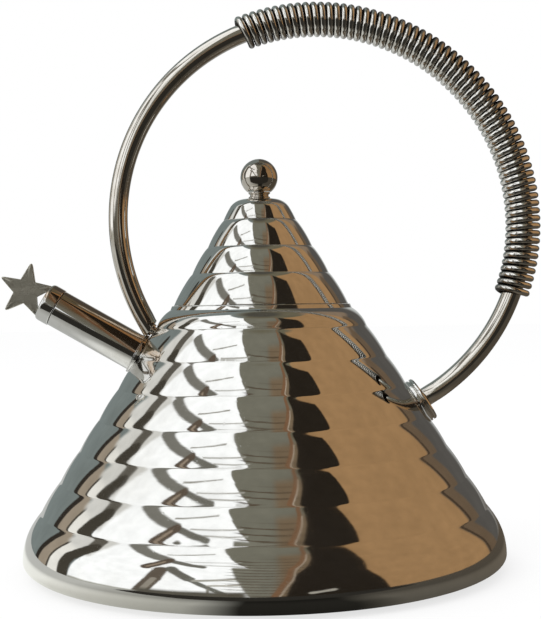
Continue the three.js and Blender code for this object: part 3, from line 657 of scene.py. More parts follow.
# %% The lid
LID_STEP, LID_ANGLE, CROWN_RADIUS, CROWN_ROUND = 0.3, np.radians(31.2), 12.0, 2.0
LID_CREASES, KNOB_HOLE = [0.305, 0.561, 0.822], 2.3
TIER_BULGE, TIER_BROW, BROW_SHARE, CROWN_SOFT = 0.48, 0.24, 0.07, 8.0
lid_foot = mouth_height + SEAT_GAP
rim_radius = mouth_radius - LID_STEP
lid_sin, lid_cos = np.sin(LID_ANGLE), np.cos(LID_ANGLE)
lid_slant = (rim_radius - CROWN_RADIUS) / lid_sin
crown_height = lid_foot + lid_slant * lid_cos + CROWN_ROUND * (1 - lid_sin)
crown_start = (crown_height - lid_foot) / lid_cos - CROWN_SOFT * np.tan(np.pi / 4 - LID_ANGLE / 2)
lid_marks = np.append(np.array([0, *LID_CREASES]) * lid_slant, crown_start)


def lid_at(up, out):
    """Point of the lid's slant: `up` runs from the rim to the crown, `out` leaves it."""
    return np.stack([rim_radius - up * lid_sin + out * lid_cos,
                     lid_foot + up * lid_cos + out * lid_sin], -1)


def tier_fall(up):
    """How far the lid's tiers lie below their slant. With s the share of a tier passed on the
    way down from its upper crease and L its length, the fall starts at F and changes with the
    slope -(b exp(-s / e) + 4 B / L (1 - 2 s) - b e), so each tier has a full brow at its top
    and hangs straighter below. F makes the outermost point of the tier touch the slant. The top
    tier flows out of the crown, so its fall is just B s^2."""
    up = np.asarray(up, float)
    top_tier = len(lid_marks) - 2
    tier = np.clip(np.searchsorted(lid_marks, up, side="right") - 1, 0, top_tier)
    length = np.diff(lid_marks)[tier]

    def rise(share):
        brow = TIER_BROW * length * BROW_SHARE * (1 - np.exp(-share / BROW_SHARE) - share)
        return brow + 4 * TIER_BULGE * share * (1 - share)

    highest = rise(np.linspace(0, 1, 101)[:, None]).max(axis=0)
    share = (lid_marks[tier + 1] - up) / length
    return np.where(tier == top_tier, TIER_BULGE * share**2, highest - rise(share))


def lid_side(out, count, arcs):
    """The lid's side from the rim to the screw's hole, moved outward by `out`."""
    slant = spaced(lid_marks, count)
    side = lid_at(slant, out - tier_fall(slant))
    side[0, 1] = lid_foot
    crown = arc(lid_at(crown_start, -CROWN_SOFT), [CROWN_SOFT + out] * 2,
                LID_ANGLE, np.pi / 2, arcs)
    return np.concatenate([side, crown, [[KNOB_HOLE, crown_height + out]]])


lid_profile = np.concatenate([lid_side(0.0, 24, 24), lid_side(-WALL, 6, 8)[::-1]])
dress(lathe("lid_shell_fine", lid_profile, sides=LID_SIDES), "lid", body_steel)
print(f"lid's crown at {crown_height:.2f} mm")

# %% The neck and the ball
BALL_RADIUS, BALL_SEAT_RADIUS, BALL_BORE, NECK_R, NECK_H, GROOVE = 8.6, 5.5, 5.3, 5.0, 2.8, 0.7
neck_foot = crown_height + SEAT_GAP
knob_steel = metal("knob_steel", ((0.68, 0.64, 0.58), (0.58, 0.53, 0.46)), patch=140.0,
                   bright=0.03, dull=0.09, rings=1500.0, wave=90.0, relief=0.03, depth=0.0003,
                   scratch_scale=90.0)
neck_profile = rounded([
    [radius, neck_foot + share * NECK_H] for radius, share in (
        (KNOB_HOLE, 0), (NECK_R, 0), (NECK_R, 0.22), (NECK_R - GROOVE, 0.38),
        (NECK_R - GROOVE, 0.62), (NECK_R, 0.78), (NECK_R, 1), (KNOB_HOLE, 1))
], 0.18)
dress(lathe("knob_neck_fine", neck_profile), "lid", knob_steel)

ball_seat = neck_foot + NECK_H + SEAT_GAP
seat_angle = -np.arccos(BALL_SEAT_RADIUS / BALL_RADIUS)
ball_centre = ball_seat - BALL_RADIUS * np.sin(seat_angle)
bore_top = ball_seat + BALL_BORE
ball_profile = np.concatenate([
    [[0, bore_top], [KNOB_HOLE, bore_top], [KNOB_HOLE, ball_seat]],
    arc([0, ball_centre], [BALL_RADIUS] * 2, seat_angle, np.pi / 2, 60),
])
ball_profile[-1, 0] = 0
dress(lathe("knob_ball_fine", ball_profile, loop=False), "lid", knob_steel)
print(f"ball's centre at {ball_centre:.2f} mm")

# %% [markdown]
# ## The spout and its whistle
#
# The spout is a plain tube of polished steel with a stepped ring at its root. The whistle's cap
# covers the tip, and a flat star with blunt points stands in its end. The upper side of the tube
# carries a painted reflection of the tan wall, straw-brown and in streaks along it.

# %% Painted straw-brown reflection on the upper side of the spout
# Mask of the painted reflection: 1 over the upper side of the tube, broken into streaks along it.
upper_reflection_group, upper_reflection_in, upper_reflection_out = new_group(
    "painted_upper_reflection", [("Place", None), ("None below", 0.0), ("Full above", 0.003)], ["Mask"])
over_axis = parts_of(upper_reflection_group, upper_reflection_in["Place"])["X"]
drawn_out = add(upper_reflection_group, "ShaderNodeMapping",
                {"Vector": upper_reflection_in["Place"], "Scale": (1.0, 1.0, 0.12)}).outputs["Vector"]
streaks = spread(upper_reflection_group, noise(upper_reflection_group, drawn_out, 900.0, 3.0), 0.35, 0.65, 0.65, 1.0)
upper = spread(upper_reflection_group, over_axis, upper_reflection_in["None below"], upper_reflection_in["Full above"])
upper_reflection_group.links.new(maths(upper_reflection_group, "MULTIPLY", upper, streaks), upper_reflection_out["Mask"])

spout_steel = metal("spout_steel", ((0.72, 0.715, 0.70), (0.64, 0.63, 0.605)), patch=90.0,
                    bright=0.04, dull=0.10, rings=1200.0, wave=60.0, scratches=0.6,
                    scratch_scale=70.0, centre=spout_root, lean=spout_lean)
NO_REFLECTION_BELOW, FULL_REFLECTION_ABOVE = 0.5, 3.2
upper_reflection = call(spout_steel.node_tree, upper_reflection_group, {
    "Place": about(spout_steel.node_tree, spout_root, spout_lean),
    "None below": NO_REFLECTION_BELOW * MM, "Full above": FULL_REFLECTION_ABOVE * MM})
# Painted reflection: a straw-brown colour laid over the upper side of the tube, in streaks.
painted_light_over(spout_steel, upper_reflection["Mask"], (0.52, 0.40, 0.29))

# %% The spout's tube and root ring
TUBE_TAIL, SPOUT_FLANGE_RADIUS, SPOUT_FLANGE_HEIGHT = 0.6, 9.75, 1.5
FLANGE_GROOVE, FLANGE_GROOVE_LOW, FLANGE_GROOVE_HIGH = 0.3, 0.85, 1.05
RING_FOOT = -1.0
bore = SPOUT_RADIUS - WALL
tube_profile = rounded(block(bore, SPOUT_RADIUS, -TUBE_TAIL, SPOUT_LENGTH), 0.25)
dress(lathe("spout_tube_fine", tube_profile, spout_root, spout_lean),
      "kettle", spout_steel)


def seated(name, profile, origin, lean, axis):
    """A turned ring whose foot, the points near the local height RING_FOOT, is lowered onto the
    body."""
    grid = placed(turned(profile, SIDES), origin, lean)
    foot = profile[:, 1] < RING_FOOT / 2
    grid[foot] = lowered(grid[foot], axis, SEAT_GAP)
    return skin(name, grid, loop=True)


flange_hole = SPOUT_RADIUS + SEAT_GAP
flange_groove = SPOUT_FLANGE_RADIUS - FLANGE_GROOVE
flange_profile = rounded([
    [flange_hole, RING_FOOT], [SPOUT_FLANGE_RADIUS, RING_FOOT],
    [SPOUT_FLANGE_RADIUS, FLANGE_GROOVE_LOW], [flange_groove, FLANGE_GROOVE_LOW],
    [flange_groove, FLANGE_GROOVE_HIGH], [SPOUT_FLANGE_RADIUS, FLANGE_GROOVE_HIGH],
    [SPOUT_FLANGE_RADIUS, SPOUT_FLANGE_HEIGHT], [flange_hole, SPOUT_FLANGE_HEIGHT],
], 0.12)
dress(seated("spout_flange_fine", flange_profile, spout_root, spout_lean, spout_axis),
      "kettle", spout_steel)

# %% The star
STAR_RADIUS, STAR_THICKNESS, STAR_CENTRE, STAR_WAIST = 12.85, 1.8, 16.5, 0.455
STAR_EDGE, STAR_BLUNT, TIP_LOSS, WAIST_BLUNT = 0.22, 2.8, 0.45, 0.3
whistle_root = spout_root + spout_axis * SPOUT_LENGTH


def star_outline(radius, blunt):
    """Outline of a five-pointed star with one point along +Z: the corners alternate between the
    radius and its waist. Its points are rounded off over the distance `blunt`, which costs them
    TIP_LOSS of it, and moved out by as much so that they still just reach the radius."""
    angle = np.pi / 2 + np.arange(10) * np.pi / 5
    is_point = np.arange(10) % 2 == 0
    reach = np.where(is_point, radius + TIP_LOSS * blunt, radius * STAR_WAIST)
    corner = np.stack([reach * np.cos(angle), reach * np.sin(angle)], -1)
    return rounded(corner, np.where(is_point, blunt, WAIST_BLUNT), 6)


def star_grid(radius, thickness, edge, blunt):
    """Rows from the front's middle over its face, bevelled edge, side and back edge to the
    middle of the back. A row is the outline scaled by a share and set at a depth."""
    outline = star_outline(radius, blunt)
    inset, half = 1 - edge / (radius * np.sin(np.pi / 10)), thickness / 2
    share = np.array([0, 0.5 * inset, inset, (1 + inset) / 2, 1])
    depth = np.array([half, half, half, half - 0.3 * edge, half - edge])
    share, depth = np.concatenate([share, share[::-1]]), np.concatenate([depth, -depth[::-1]])
    grid = np.empty((len(share), len(outline), 3))
    grid[..., 0] = share[:, None] * outline[:, 0]
    grid[..., 1] = -depth[:, None]
    grid[..., 2] = share[:, None] * outline[:, 1] + STAR_CENTRE
    return grid


star_steel = metal("star_steel", ((0.58, 0.56, 0.48), (0.46, 0.44, 0.37)), patch=170.0,
                   bright=0.30, dull=0.48, rings=2500.0, wave=220.0, fine_share=0.5, relief=0.35,
                   scratches=0.8, scratch_scale=120.0)
star = star_grid(STAR_RADIUS, STAR_THICKNESS, STAR_EDGE, STAR_BLUNT)
dress(skin("whistle_star_fine", placed(star, whistle_root, spout_lean), sharp=20),
      "whistle", star_steel)

# %% The whistle's cap, sleeve and plates
CAP_RADIUS, CAP_LENGTH, CAP_END, CAP_MOUTH = 9.0, 7.1, 1.0, 4.0
SLEEVE_TAIL, SLEEVE_WALL, SLEEVE_PLAY, PLATE, PLATE_HOLE = 12.0, 0.7, 0.4, 0.8, 1.6
SLOT_HALF, SLOT_REACH, SLOT_LOW, SLOT_HIGH = 0.6, 15.0, -20.0, -4.0
STAR_ROOM, ROOM_EDGE, ROOM_BLUNT = 0.97, 0.05, 0.3
chamber, cap_inside = CAP_RADIUS - WALL, CAP_LENGTH - CAP_END
cap_profile = rounded([
    [chamber, SEAT_GAP], [CAP_RADIUS, SEAT_GAP], [CAP_RADIUS, CAP_LENGTH],
    [CAP_MOUTH, CAP_LENGTH], [CAP_MOUTH, cap_inside], [chamber, cap_inside],
], [0.2, 0.45, 2.2, 0.3, 0.3, 0.6], 8)
whistle_cap = lathe("whistle_cap_fine", cap_profile, whistle_root, spout_lean)
room_for_star = star_grid(STAR_RADIUS + STAR_ROOM, STAR_THICKNESS + 2 * SEAT_GAP,
                          ROOM_EDGE, ROOM_BLUNT)
cut(whistle_cap, [skin("slot_star", placed(room_for_star, whistle_root, spout_lean))])
dress(whistle_cap, "whistle", spout_steel)


def box_grid(half_x, half_y, low, high):
    """A closed box as a grid of four sides and two poles."""
    x = np.array([1, -1, -1, 1]) * half_x
    y = np.array([1, 1, -1, -1]) * half_y
    share, height = np.array([0, 1, 1, 0]), np.array([low, low, high, high])
    return np.stack([share[:, None] * x, share[:, None] * y, np.repeat(height[:, None], 4, 1)], -1)


sheet_steel = metal("sheet_steel", ((0.64, 0.635, 0.62), (0.55, 0.54, 0.515)), patch=60.0,
                    bright=0.22, dull=0.38, rings=1100.0, wave=50.0, fine_share=0.6, relief=0.15,
                    depth=0.0003, scratches=0.6)
insert, sleeve_radius = chamber - SEAT_GAP, bore - SLEEVE_PLAY
sleeve_bore, sleeve_top = sleeve_radius - SLEEVE_WALL, SEAT_GAP + SLEEVE_WALL
sleeve_profile = rounded([
    [sleeve_bore, -SLEEVE_TAIL], [sleeve_radius, -SLEEVE_TAIL], [sleeve_radius, SEAT_GAP],
    [insert, SEAT_GAP], [insert, sleeve_top], [sleeve_bore, sleeve_top],
], 0.15)
sleeve = lathe("whistle_sleeve_fine", sleeve_profile, whistle_root, spout_lean)
cut(sleeve, [
    skin(f"slot_{i}", placed(box_grid(*halves, SLOT_LOW, SLOT_HIGH), whistle_root, spout_lean))
    for i, halves in enumerate([(SLOT_REACH, SLOT_HALF), (SLOT_HALF, SLOT_REACH)])
])
dress(sleeve, "whistle", sheet_steel)

for name, low in (("rear", sleeve_top + SEAT_GAP), ("front", cap_inside - SEAT_GAP - PLATE)):
    profile = rounded(block(PLATE_HOLE, insert, low, low + PLATE), 0.15)
    dress(lathe(f"whistle_{name}_plate_fine", profile, whistle_root, spout_lean),
          "whistle", sheet_steel)

# %% [markdown]
# ## The ring handle
#
# One polished bar is bent into a ring that is a hair longer along one diagonal. Its section is
# carried along the centre line. At each end the section is slid along the bar until it lies in
# the plane of the foot's seat, so the bar ends in a clean slanting cut. Below that cut the bar
# narrows to its stud, which passes through the wall.

# %% Carry a section along the ring
ROD_SIDES, ROD_ROWS, END_ROWS = 64, 420, 6
STUD_RADIUS, STUD_DEPTH, STUD_BEVEL, SPIGOT_RADIUS = 2.0, 8.2, 0.4, 3.0
CUT_EDGE = [(0.55, 0.0), (0.16, 0.1), (0.0, 0.42)]


def bar_grid(angles):
    """Tube of the rod's radius about the ring's centre line: point = centre + R (cos t outward
    + sin t across), where outward is square to the path in its own plane."""
    centre = ring_point(angles)
    step = 1e-4
    along = ring_point(angles + step) - ring_point(angles - step)
    along /= np.linalg.norm(along, axis=1)[:, None]
    outward = np.cross(Y_AXIS, along)
    t = np.arange(ROD_SIDES) * 2 * np.pi / ROD_SIDES
    around = np.cos(t)[None, :, None] * outward[:, None] + np.sin(t)[None, :, None] * Y_AXIS
    return centre[:, None] + ROD_RADIUS * around, along


def rod_end(bar_row, along, foot, normal, seat, radii):
    """Rows that close an end of the bar. The last row is slid along the bar into the plane of
    the seat, and the edge of that slanting cut is rounded by the rows of CUT_EDGE, given as
    (distance back from the cut, distance in from the edge). Then come rings about the foot's
    axis, given as (radius, height over the cone), and the stud's end."""
    middle = foot + normal * seat
    edge = bar_row + (((middle - bar_row) @ normal) / (along @ normal))[:, None] * along
    spokes = edge - middle
    inward = spokes / np.linalg.norm(spokes, axis=1)[:, None]
    stud = [(STUD_RADIUS, STUD_BEVEL - STUD_DEPTH), (STUD_RADIUS - STUD_BEVEL, -STUD_DEPTH),
            (0.0, -STUD_DEPTH)]
    rows = [edge + normal * back - inward * inset for back, inset in CUT_EDGE]
    rows += [middle + inward * radius + normal * (height - seat) for radius, height in radii + stud]
    return np.array(rows)


bar, bar_along = bar_grid(np.linspace(LEFT_FOOT_ANGLE, right_angle, ROD_ROWS))
left_rows = rod_end(bar[0], bar_along[0], left_foot, left_normal, left_seat, [
    (SPIGOT_RADIUS, left_seat), (SPIGOT_RADIUS, SEAT_GAP), (STUD_RADIUS, SEAT_GAP)])
right_rows = rod_end(bar[-1], bar_along[-1], right_foot, right_normal, right_seat, [
    (STUD_RADIUS, right_seat)])
rod_steel = metal("rod_steel", ((0.74, 0.705, 0.65), (0.63, 0.585, 0.52)), patch=120.0,
                  bright=0.05, dull=0.12, rings=1000.0, wave=70.0, scratches=0.6,
                  scratch_scale=80.0)
rod = skin("handle_rod_fine",
           np.concatenate([left_rows[::-1], bar[END_ROWS:-END_ROWS], right_rows]))
spout_room = block(0, SPOUT_FLANGE_RADIUS + SEAT_GAP, -CUT_REACH, SPOUT_FLANGE_HEIGHT + SEAT_GAP)
cut(rod, [lathe("spout_room", spout_room, spout_root, spout_lean, loop=False)])
dress(rod, "kettle", rod_steel)

# %% The flange under the right foot
FOOT_FLANGE_RADIUS, FOOT_GROOVE = 10.7, 0.7
foot_groove, stud_hole = FOOT_FLANGE_RADIUS - FOOT_GROOVE, STUD_RADIUS + SEAT_GAP
foot_flange_profile = rounded([
    [stud_hole, RING_FOOT], [FOOT_FLANGE_RADIUS, RING_FOOT], [FOOT_FLANGE_RADIUS, 0.9],
    [foot_groove, 1.1], [foot_groove, 1.5], [FOOT_FLANGE_RADIUS, 1.7], [FOOT_FLANGE_RADIUS, 2.7],
    [FOOT_FLANGE_RADIUS - 0.6, FOOT_FLANGE_HEIGHT], [stud_hole, FOOT_FLANGE_HEIGHT],
], 0.16)
flange_steel = metal("flange_steel", (STEEL, TARNISH), patch=110.0, bright=0.04, dull=0.10,
                     rings=1400.0, wave=80.0, depth=0.0003, scratch_scale=80.0,
                     centre=right_foot, lean=foot_lean)
dress(seated("handle_flange_fine", foot_flange_profile, right_foot, foot_lean, right_normal),
      "kettle", flange_steel)

# %% [markdown]
# ## The spring grip
#
# The grip is one long piece of hard wire wound sixty-six times round the bar. Its middle line is
# a helix whose axis is the ring itself. Both ends lie at the back, where no hand meets them.
#
# The curls nearly touch, so little light gets in between them. That dark in the gaps is what
# makes a spring read as one, so the wire's colour carries painted shade that darkens towards the
# bar.

# %% Wind the wire
COIL_START, COIL_END, COIL_TURNS = np.radians(-21.6), np.radians(112), 66
COIL_RADIUS, WIRE_RADIUS, CURL_STEPS, WIRE_SIDES = 6.57, 1.5, 36, 14
# Distances from the bar's centre line (mm) where the painted shade is full and where it ends.
SHADE_DARK_AT, SHADE_LIT_AT = 6.95, 7.8


def coil_line(turns):
    """Middle of the wire after a number of turns: ring point + radius (cos outward + sin
    across), starting at the back."""
    angle = COIL_START + (COIL_END - COIL_START) * turns / COIL_TURNS
    outward = np.stack([np.cos(angle), 0 * angle, np.sin(angle)], -1)
    spin = 2 * np.pi * turns + np.pi / 2
    spoke = outward * np.cos(spin)[:, None] + Y_AXIS * np.sin(spin)[:, None]
    return ring_point(angle) + spoke * COIL_RADIUS, spoke


def wire_grid(turns):
    """The wire's round section carried along its middle line. Each end is rounded by five rows
    that reach past it and narrow to a point, both as shares of the wire's radius."""
    centre, spoke = coil_line(turns)
    ahead, behind = coil_line(turns + 1e-4)[0], coil_line(turns - 1e-4)[0]
    along = (ahead - behind) / np.linalg.norm(ahead - behind, axis=1)[:, None]
    side = np.cross(along, spoke)
    side /= np.linalg.norm(side, axis=1)[:, None]
    top = np.cross(side, along)
    t = np.arange(WIRE_SIDES) * 2 * np.pi / WIRE_SIDES
    around = np.cos(t)[None, :, None] * top[:, None] + np.sin(t)[None, :, None] * side[:, None]
    tube = centre[:, None] + WIRE_RADIUS * around
    reach = np.array([0.0, 0.5, 0.8, 0.95, 0.95])[:, None, None]
    width = np.array([1.0, 0.87, 0.6, 0.3, 0.0])[:, None, None]
    first, last = (
        centre[end] + WIRE_RADIUS * (width * around[end] + sign * reach * along[end])
        for end, sign in ((0, -1), (-1, 1))
    )
    return np.concatenate([first[::-1], tube[1:-1], last])


# Mask of the painted shade between the curls: 1 close to the bar, 0 out on the crests.
gap_shade_group, gap_shade_in, gap_shade_out = new_group(
    "coil_gap_shade",
    [("Place", None), ("Ring radius", 0.0936), ("Dark at", 0.0065), ("Lit at", 0.0078)],
    ["Mask"])
gap_x, gap_y, gap_z = parts_of(gap_shade_group, gap_shade_in["Place"])
over_ring = maths(gap_shade_group, "SUBTRACT", hypotenuse(gap_shade_group, gap_x, gap_z),
                  gap_shade_in["Ring radius"])
from_bar = hypotenuse(gap_shade_group, over_ring, gap_y)
gap_shade_group.links.new(spread(gap_shade_group, from_bar, gap_shade_in["Lit at"], gap_shade_in["Dark at"]),
                      gap_shade_out["Mask"])

spring_steel = metal("spring_steel", ((0.88, 0.865, 0.83), (0.70, 0.67, 0.62)), patch=260.0,
                     bright=0.05, dull=0.13, rings=1800.0, wave=200.0, fine_share=0.4, relief=0.1,
                     depth=0.0002, scratch_scale=140.0)
gap_shade = call(spring_steel.node_tree, gap_shade_group, {
    "Place": about(spring_steel.node_tree, ring_centre), "Ring radius": RING_RADIUS * MM,
    "Dark at": SHADE_DARK_AT * MM, "Lit at": SHADE_LIT_AT * MM})
# Painted shade: nearly black on the wire's inner side, where the curls shade each other and the
# bar.
painted_light_over(spring_steel, gap_shade["Mask"], (0.035, 0.029, 0.023), rough=0.5)
wire = wire_grid(np.linspace(0, COIL_TURNS, COIL_TURNS * CURL_STEPS + 1))
dress(skin("grip_spring_fine", wire), "kettle", spring_steel)

# %% [markdown]
# ## What lies inside and underneath
#
# Turned over, the kettle shows a thin cap round the aluminium disc, the raised base plate and
# the body's lip. With the lid off, the bore of the mouth and the lid's collar show. A flat has
# one more ring of points near its edge, or its shading would follow the rounded edge all over.

# %% Base plate, disc cap, mouth ring and collar
DISC_INSET, CAP_SHEET, CAP_TOP, FLAT_RING = 8.6, 0.6, 4.4, 2.0
RING_DEPTH, COLLAR_PLAY, COLLAR_DEPTH, STEP_RUN, STEP_RING = 12.0, 0.4, 11.0, 2, 1
cap_radius = base_lip - DISC_INSET + SEAT_GAP + CAP_SHEET
cap_bore = cap_radius - CAP_SHEET
cap_profile = rounded_open([
    [0, 0], [cap_radius - FLAT_RING, 0], [cap_radius, 0], [cap_radius, CAP_TOP],
    [cap_bore, CAP_TOP], [cap_bore, CAP_SHEET], [cap_radius - FLAT_RING, CAP_SHEET],
    [0, CAP_SHEET],
], [0, 0.1, 1.2, 0.2, 0.2, 0.6, 0.1, 0], 6)

raised, seated_height = CAP_TOP + SEAT_GAP, BASE_LIFT + WALL + SEAT_GAP
step_radius, plate_radius = cap_radius + SEAT_GAP, BASE_RADIUS - EDGE_TUCK
plate_profile = rounded_open([
    [0, raised], [step_radius - STEP_RING, raised], [step_radius, raised],
    [step_radius + STEP_RUN, seated_height], [plate_radius, seated_height],
    [plate_radius, seated_height + WALL], [step_radius + STEP_RUN + WALL, seated_height + WALL],
    [step_radius + WALL, raised + WALL], [step_radius + WALL - STEP_RING, raised + WALL],
    [0, raised + WALL],
], 0.35, 5)

ring_top, ring_outside = mouth_height - WALL - SEAT_GAP, mouth_radius - WALL - SEAT_GAP
ring_profile = rounded([
    [mouth_bore, mouth_height - RING_DEPTH], [rim, mouth_height - RING_DEPTH],
    [rim, ring_top - WALL], [ring_outside, ring_top - WALL], [ring_outside, ring_top],
    [mouth_bore, ring_top],
], 0.25)

collar_radius, flange_top = mouth_bore - COLLAR_PLAY, SEAT_GAP + WALL
collar_flange = (rim_radius - flange_top * lid_sin / lid_cos
                 - (WALL + BAND_BULGE + SEAT_GAP) / lid_cos)
collar_profile = rounded([
    [collar_radius - WALL, -COLLAR_DEPTH], [collar_radius, -COLLAR_DEPTH],
    [collar_radius, SEAT_GAP], [collar_flange, SEAT_GAP], [collar_flange, flange_top],
    [collar_radius - WALL, flange_top],
], 0.25) + [0, lid_foot]

for name, profile, sides, owner, loop in (
        ("disc_cap", cap_profile, BASE_SIDES, "kettle", False),
        ("base_plate", plate_profile, BASE_SIDES, "kettle", False),
        ("mouth_ring", ring_profile, MOUTH_SIDES, "kettle", True),
        ("lid_collar", collar_profile, MOUTH_SIDES, "lid", True)):
    dress(lathe(f"{name}_fine", profile, sides=sides, loop=loop), owner,
          sheet_steel)

# %% Finishes for the CAD pieces that stay
disc_aluminium = metal("disc_aluminium", ((0.76, 0.77, 0.78), (0.66, 0.67, 0.68)), patch=40.0,
                       bright=0.30, dull=0.45, rings=1300.0, wave=40.0, fine_share=1.0, relief=0.3,
                       depth=0.0003, scratches=0.6)
fastener_steel = metal("fastener_steel", ((0.58, 0.575, 0.56), (0.46, 0.45, 0.43)), patch=220.0,
                       bright=0.22, dull=0.36, rings=2200.0, wave=150.0, fine_share=0.6, relief=0.2,
                       depth=0.0002, scratches=0.7, scratch_scale=120.0)


def silicone_finish():
    """Matt black silicone with a faint mould grain and a little bloom."""
    material, tree = new_material("seal_silicone")
    place = object_place(tree)
    grain, bloom = noise(tree, place, 2600.0, 3.0), noise(tree, place, 260.0, 4.0)
    veil = spread(tree, bloom, 0.45, 0.75)
    bump = add(tree, "ShaderNodeBump", {"Height": grain, "Strength": 0.3, "Distance": 0.0001})
    coat(tree, {"Base Color": blend(tree, veil, (0.018, 0.018, 0.019), (0.05, 0.05, 0.05)),
                "Roughness": between(tree, veil, 0.55, 0.75), "Normal": bump.outputs["Normal"]})
    return material


seal_silicone = silicone_finish()
kept = {
    "heat_disc": disc_aluminium, "knob_washer": sheet_steel, "knob_screw": fastener_steel,
    "handle_seal_left": seal_silicone, "handle_seal_right": seal_silicone,
    "handle_washer_left": sheet_steel, "handle_washer_right": sheet_steel,
    "handle_nut_left": fastener_steel, "handle_nut_right": fastener_steel,
}
for name, material in kept.items():
    nodes[name].data.materials.clear()
    nodes[name].data.materials.append(material)
print("kept CAD pieces:", sorted(kept))

# %% [markdown]
# ## The room in the metal
#
# Polished steel has hardly any colour of its own: it shows the room. In the picture, the left
# of the kettle holds tall bright windows between dark frames and a slanting roof beam, the
# middle a dim grey-green ceiling that turns brown, then comes an open black doorway beside a
# wooden post, and a tan wall to the right. The camera itself sees plain white.
#
# The room could be built from real walls, but they would also shade the floor and show in other
# views. So it is painted by direction on the sky that only mirrors see. Azimuth is measured
# from the camera's side towards the right, height from the horizon, both in degrees. A wall or
# a pane is a patch whose sides may slant, and a frame or a beam is a bar between two points.

# %% A patch of the room
def steps_of(tree, value, edge):
    """1 where the value is well above zero, 0 well below, soft over the width `edge`."""
    return spread(tree, maths(tree, "DIVIDE", value, edge), -0.5, 0.5)


def product(tree, sockets):
    """All sockets multiplied."""
    total = sockets[0]
    for socket in sockets[1:]:
        total = maths(tree, "MULTIPLY", total, socket)
    return total


patch_group, patch_in, patch_out = new_group(
    "room_patch",
    [("Azimuth", 0.0), ("Height", 0.0), ("Left", 0.0), ("Left lean", 0.0), ("Right", 10.0),
     ("Right lean", 0.0), ("Bottom", 0.0), ("Top", 10.0), ("Top rise", 0.0), ("Edge", 1.0)],
    ["Mask"])
raised_by = maths(patch_group, "SUBTRACT", patch_in["Height"], patch_in["Bottom"])
across = maths(patch_group, "SUBTRACT", patch_in["Azimuth"], patch_in["Left"])


def border(limit, slope, distance):
    """A border that moves by `slope` for each degree of `distance`."""
    return maths(patch_group, "MULTIPLY_ADD", patch_in[slope], distance, patch_in[limit])


insides = [raised_by] + [maths(patch_group, "SUBTRACT", *pair) for pair in (
    (patch_in["Azimuth"], border("Left", "Left lean", raised_by)),
    (border("Right", "Right lean", raised_by), patch_in["Azimuth"]),
    (border("Top", "Top rise", across), patch_in["Height"]))]
patch_group.links.new(
    product(patch_group, [steps_of(patch_group, inside, patch_in["Edge"]) for inside in insides]),
    patch_out["Mask"])

# %% A bar of the room
bar_group, bar_in, bar_out = new_group(
    "room_bar",
    [("Azimuth", 0.0), ("Height", 0.0), ("A", 0.0), ("B", 0.0), ("C", 1.0), ("D", 1.0),
     ("Half width", 1.0), ("Edge", 1.0)],
    ["Mask"])
point, start, end = (joined(bar_group, X=bar_in[x], Y=bar_in[y])
                     for x, y in (("Azimuth", "Height"), ("A", "B"), ("C", "D")))
run = vectors(bar_group, "SUBTRACT", {0: end, 1: start})
offset = vectors(bar_group, "SUBTRACT", {0: point, 1: start})
passed = maths(bar_group, "DIVIDE", vectors(bar_group, "DOT_PRODUCT", {0: offset, 1: run}, "Value"),
               vectors(bar_group, "DOT_PRODUCT", {0: run, 1: run}, "Value"))
passed = spread(bar_group, passed, 0.0, 1.0, smooth=False)
nearest = vectors(bar_group, "SCALE", {0: run, "Scale": passed})
away = vectors(bar_group, "DISTANCE", {0: offset, 1: nearest}, "Value")
inside = maths(bar_group, "SUBTRACT", bar_in["Half width"], away)
bar_group.links.new(steps_of(bar_group, inside, bar_in["Edge"]), bar_out["Mask"])

# %% The sky's own angles, slightly warped so that no edge is ruler-straight
AZIMUTH_WARP, HEIGHT_WARP = 2.4, 1.6
world = bpy.data.worlds.new("room")
bpy.context.scene.world = world
world.use_nodes = True
room = world.node_tree
room.nodes.clear()
look = add(room, "ShaderNodeTexCoord").outputs["Generated"]
look_x, look_y, look_z = parts_of(room, look)
ripple = add(room, "ShaderNodeTexNoise", {"Vector": look, "Scale": 4.0, "Detail": 2.0})
ripples = parts_of(room, ripple.outputs["Color"])


def warped(angle, axis, width):
    """An angle moved by up to half a `width` with the ripple."""
    return maths(room, "MULTIPLY_ADD", maths(room, "SUBTRACT", ripples[axis], 0.5), width, angle)


azimuth = warped(bearing_of(room, look_x, look_y), "X", AZIMUTH_WARP)
elevation = warped(maths(room, "DEGREES", maths(room, "ARCSINE", look_z)), "Y", HEIGHT_WARP)
painted = []
print("world:", world.name)


def paint(mask, shade):
    """Lays a colour over what has been painted so far, where the mask is 1."""
    under = painted[-1] if painted else (0.5, 0.5, 0.5)
    painted.append(blend(room, mask, under, shade))


def wall(shade, left, right, bottom, top, edge=1.0, left_lean=0.0, right_lean=0.0, top_rise=0.0):
    """A patch of one colour between two azimuths and two heights."""
    paint(call(room, patch_group, {
        "Azimuth": azimuth, "Height": elevation, "Left": left, "Left lean": left_lean,
        "Right": right, "Right lean": right_lean, "Bottom": bottom, "Top": top,
        "Top rise": top_rise, "Edge": edge})["Mask"], shade)


def beam(shade, points, half_width, edge=1.0):
    """A bar of one colour through a row of (azimuth, height) points."""
    for (a, b), (c, d) in zip(points[:-1], points[1:]):
        paint(call(room, bar_group, {
            "Azimuth": azimuth, "Height": elevation, "A": a, "B": b, "C": c, "D": d,
            "Half width": half_width, "Edge": edge})["Mask"], shade)


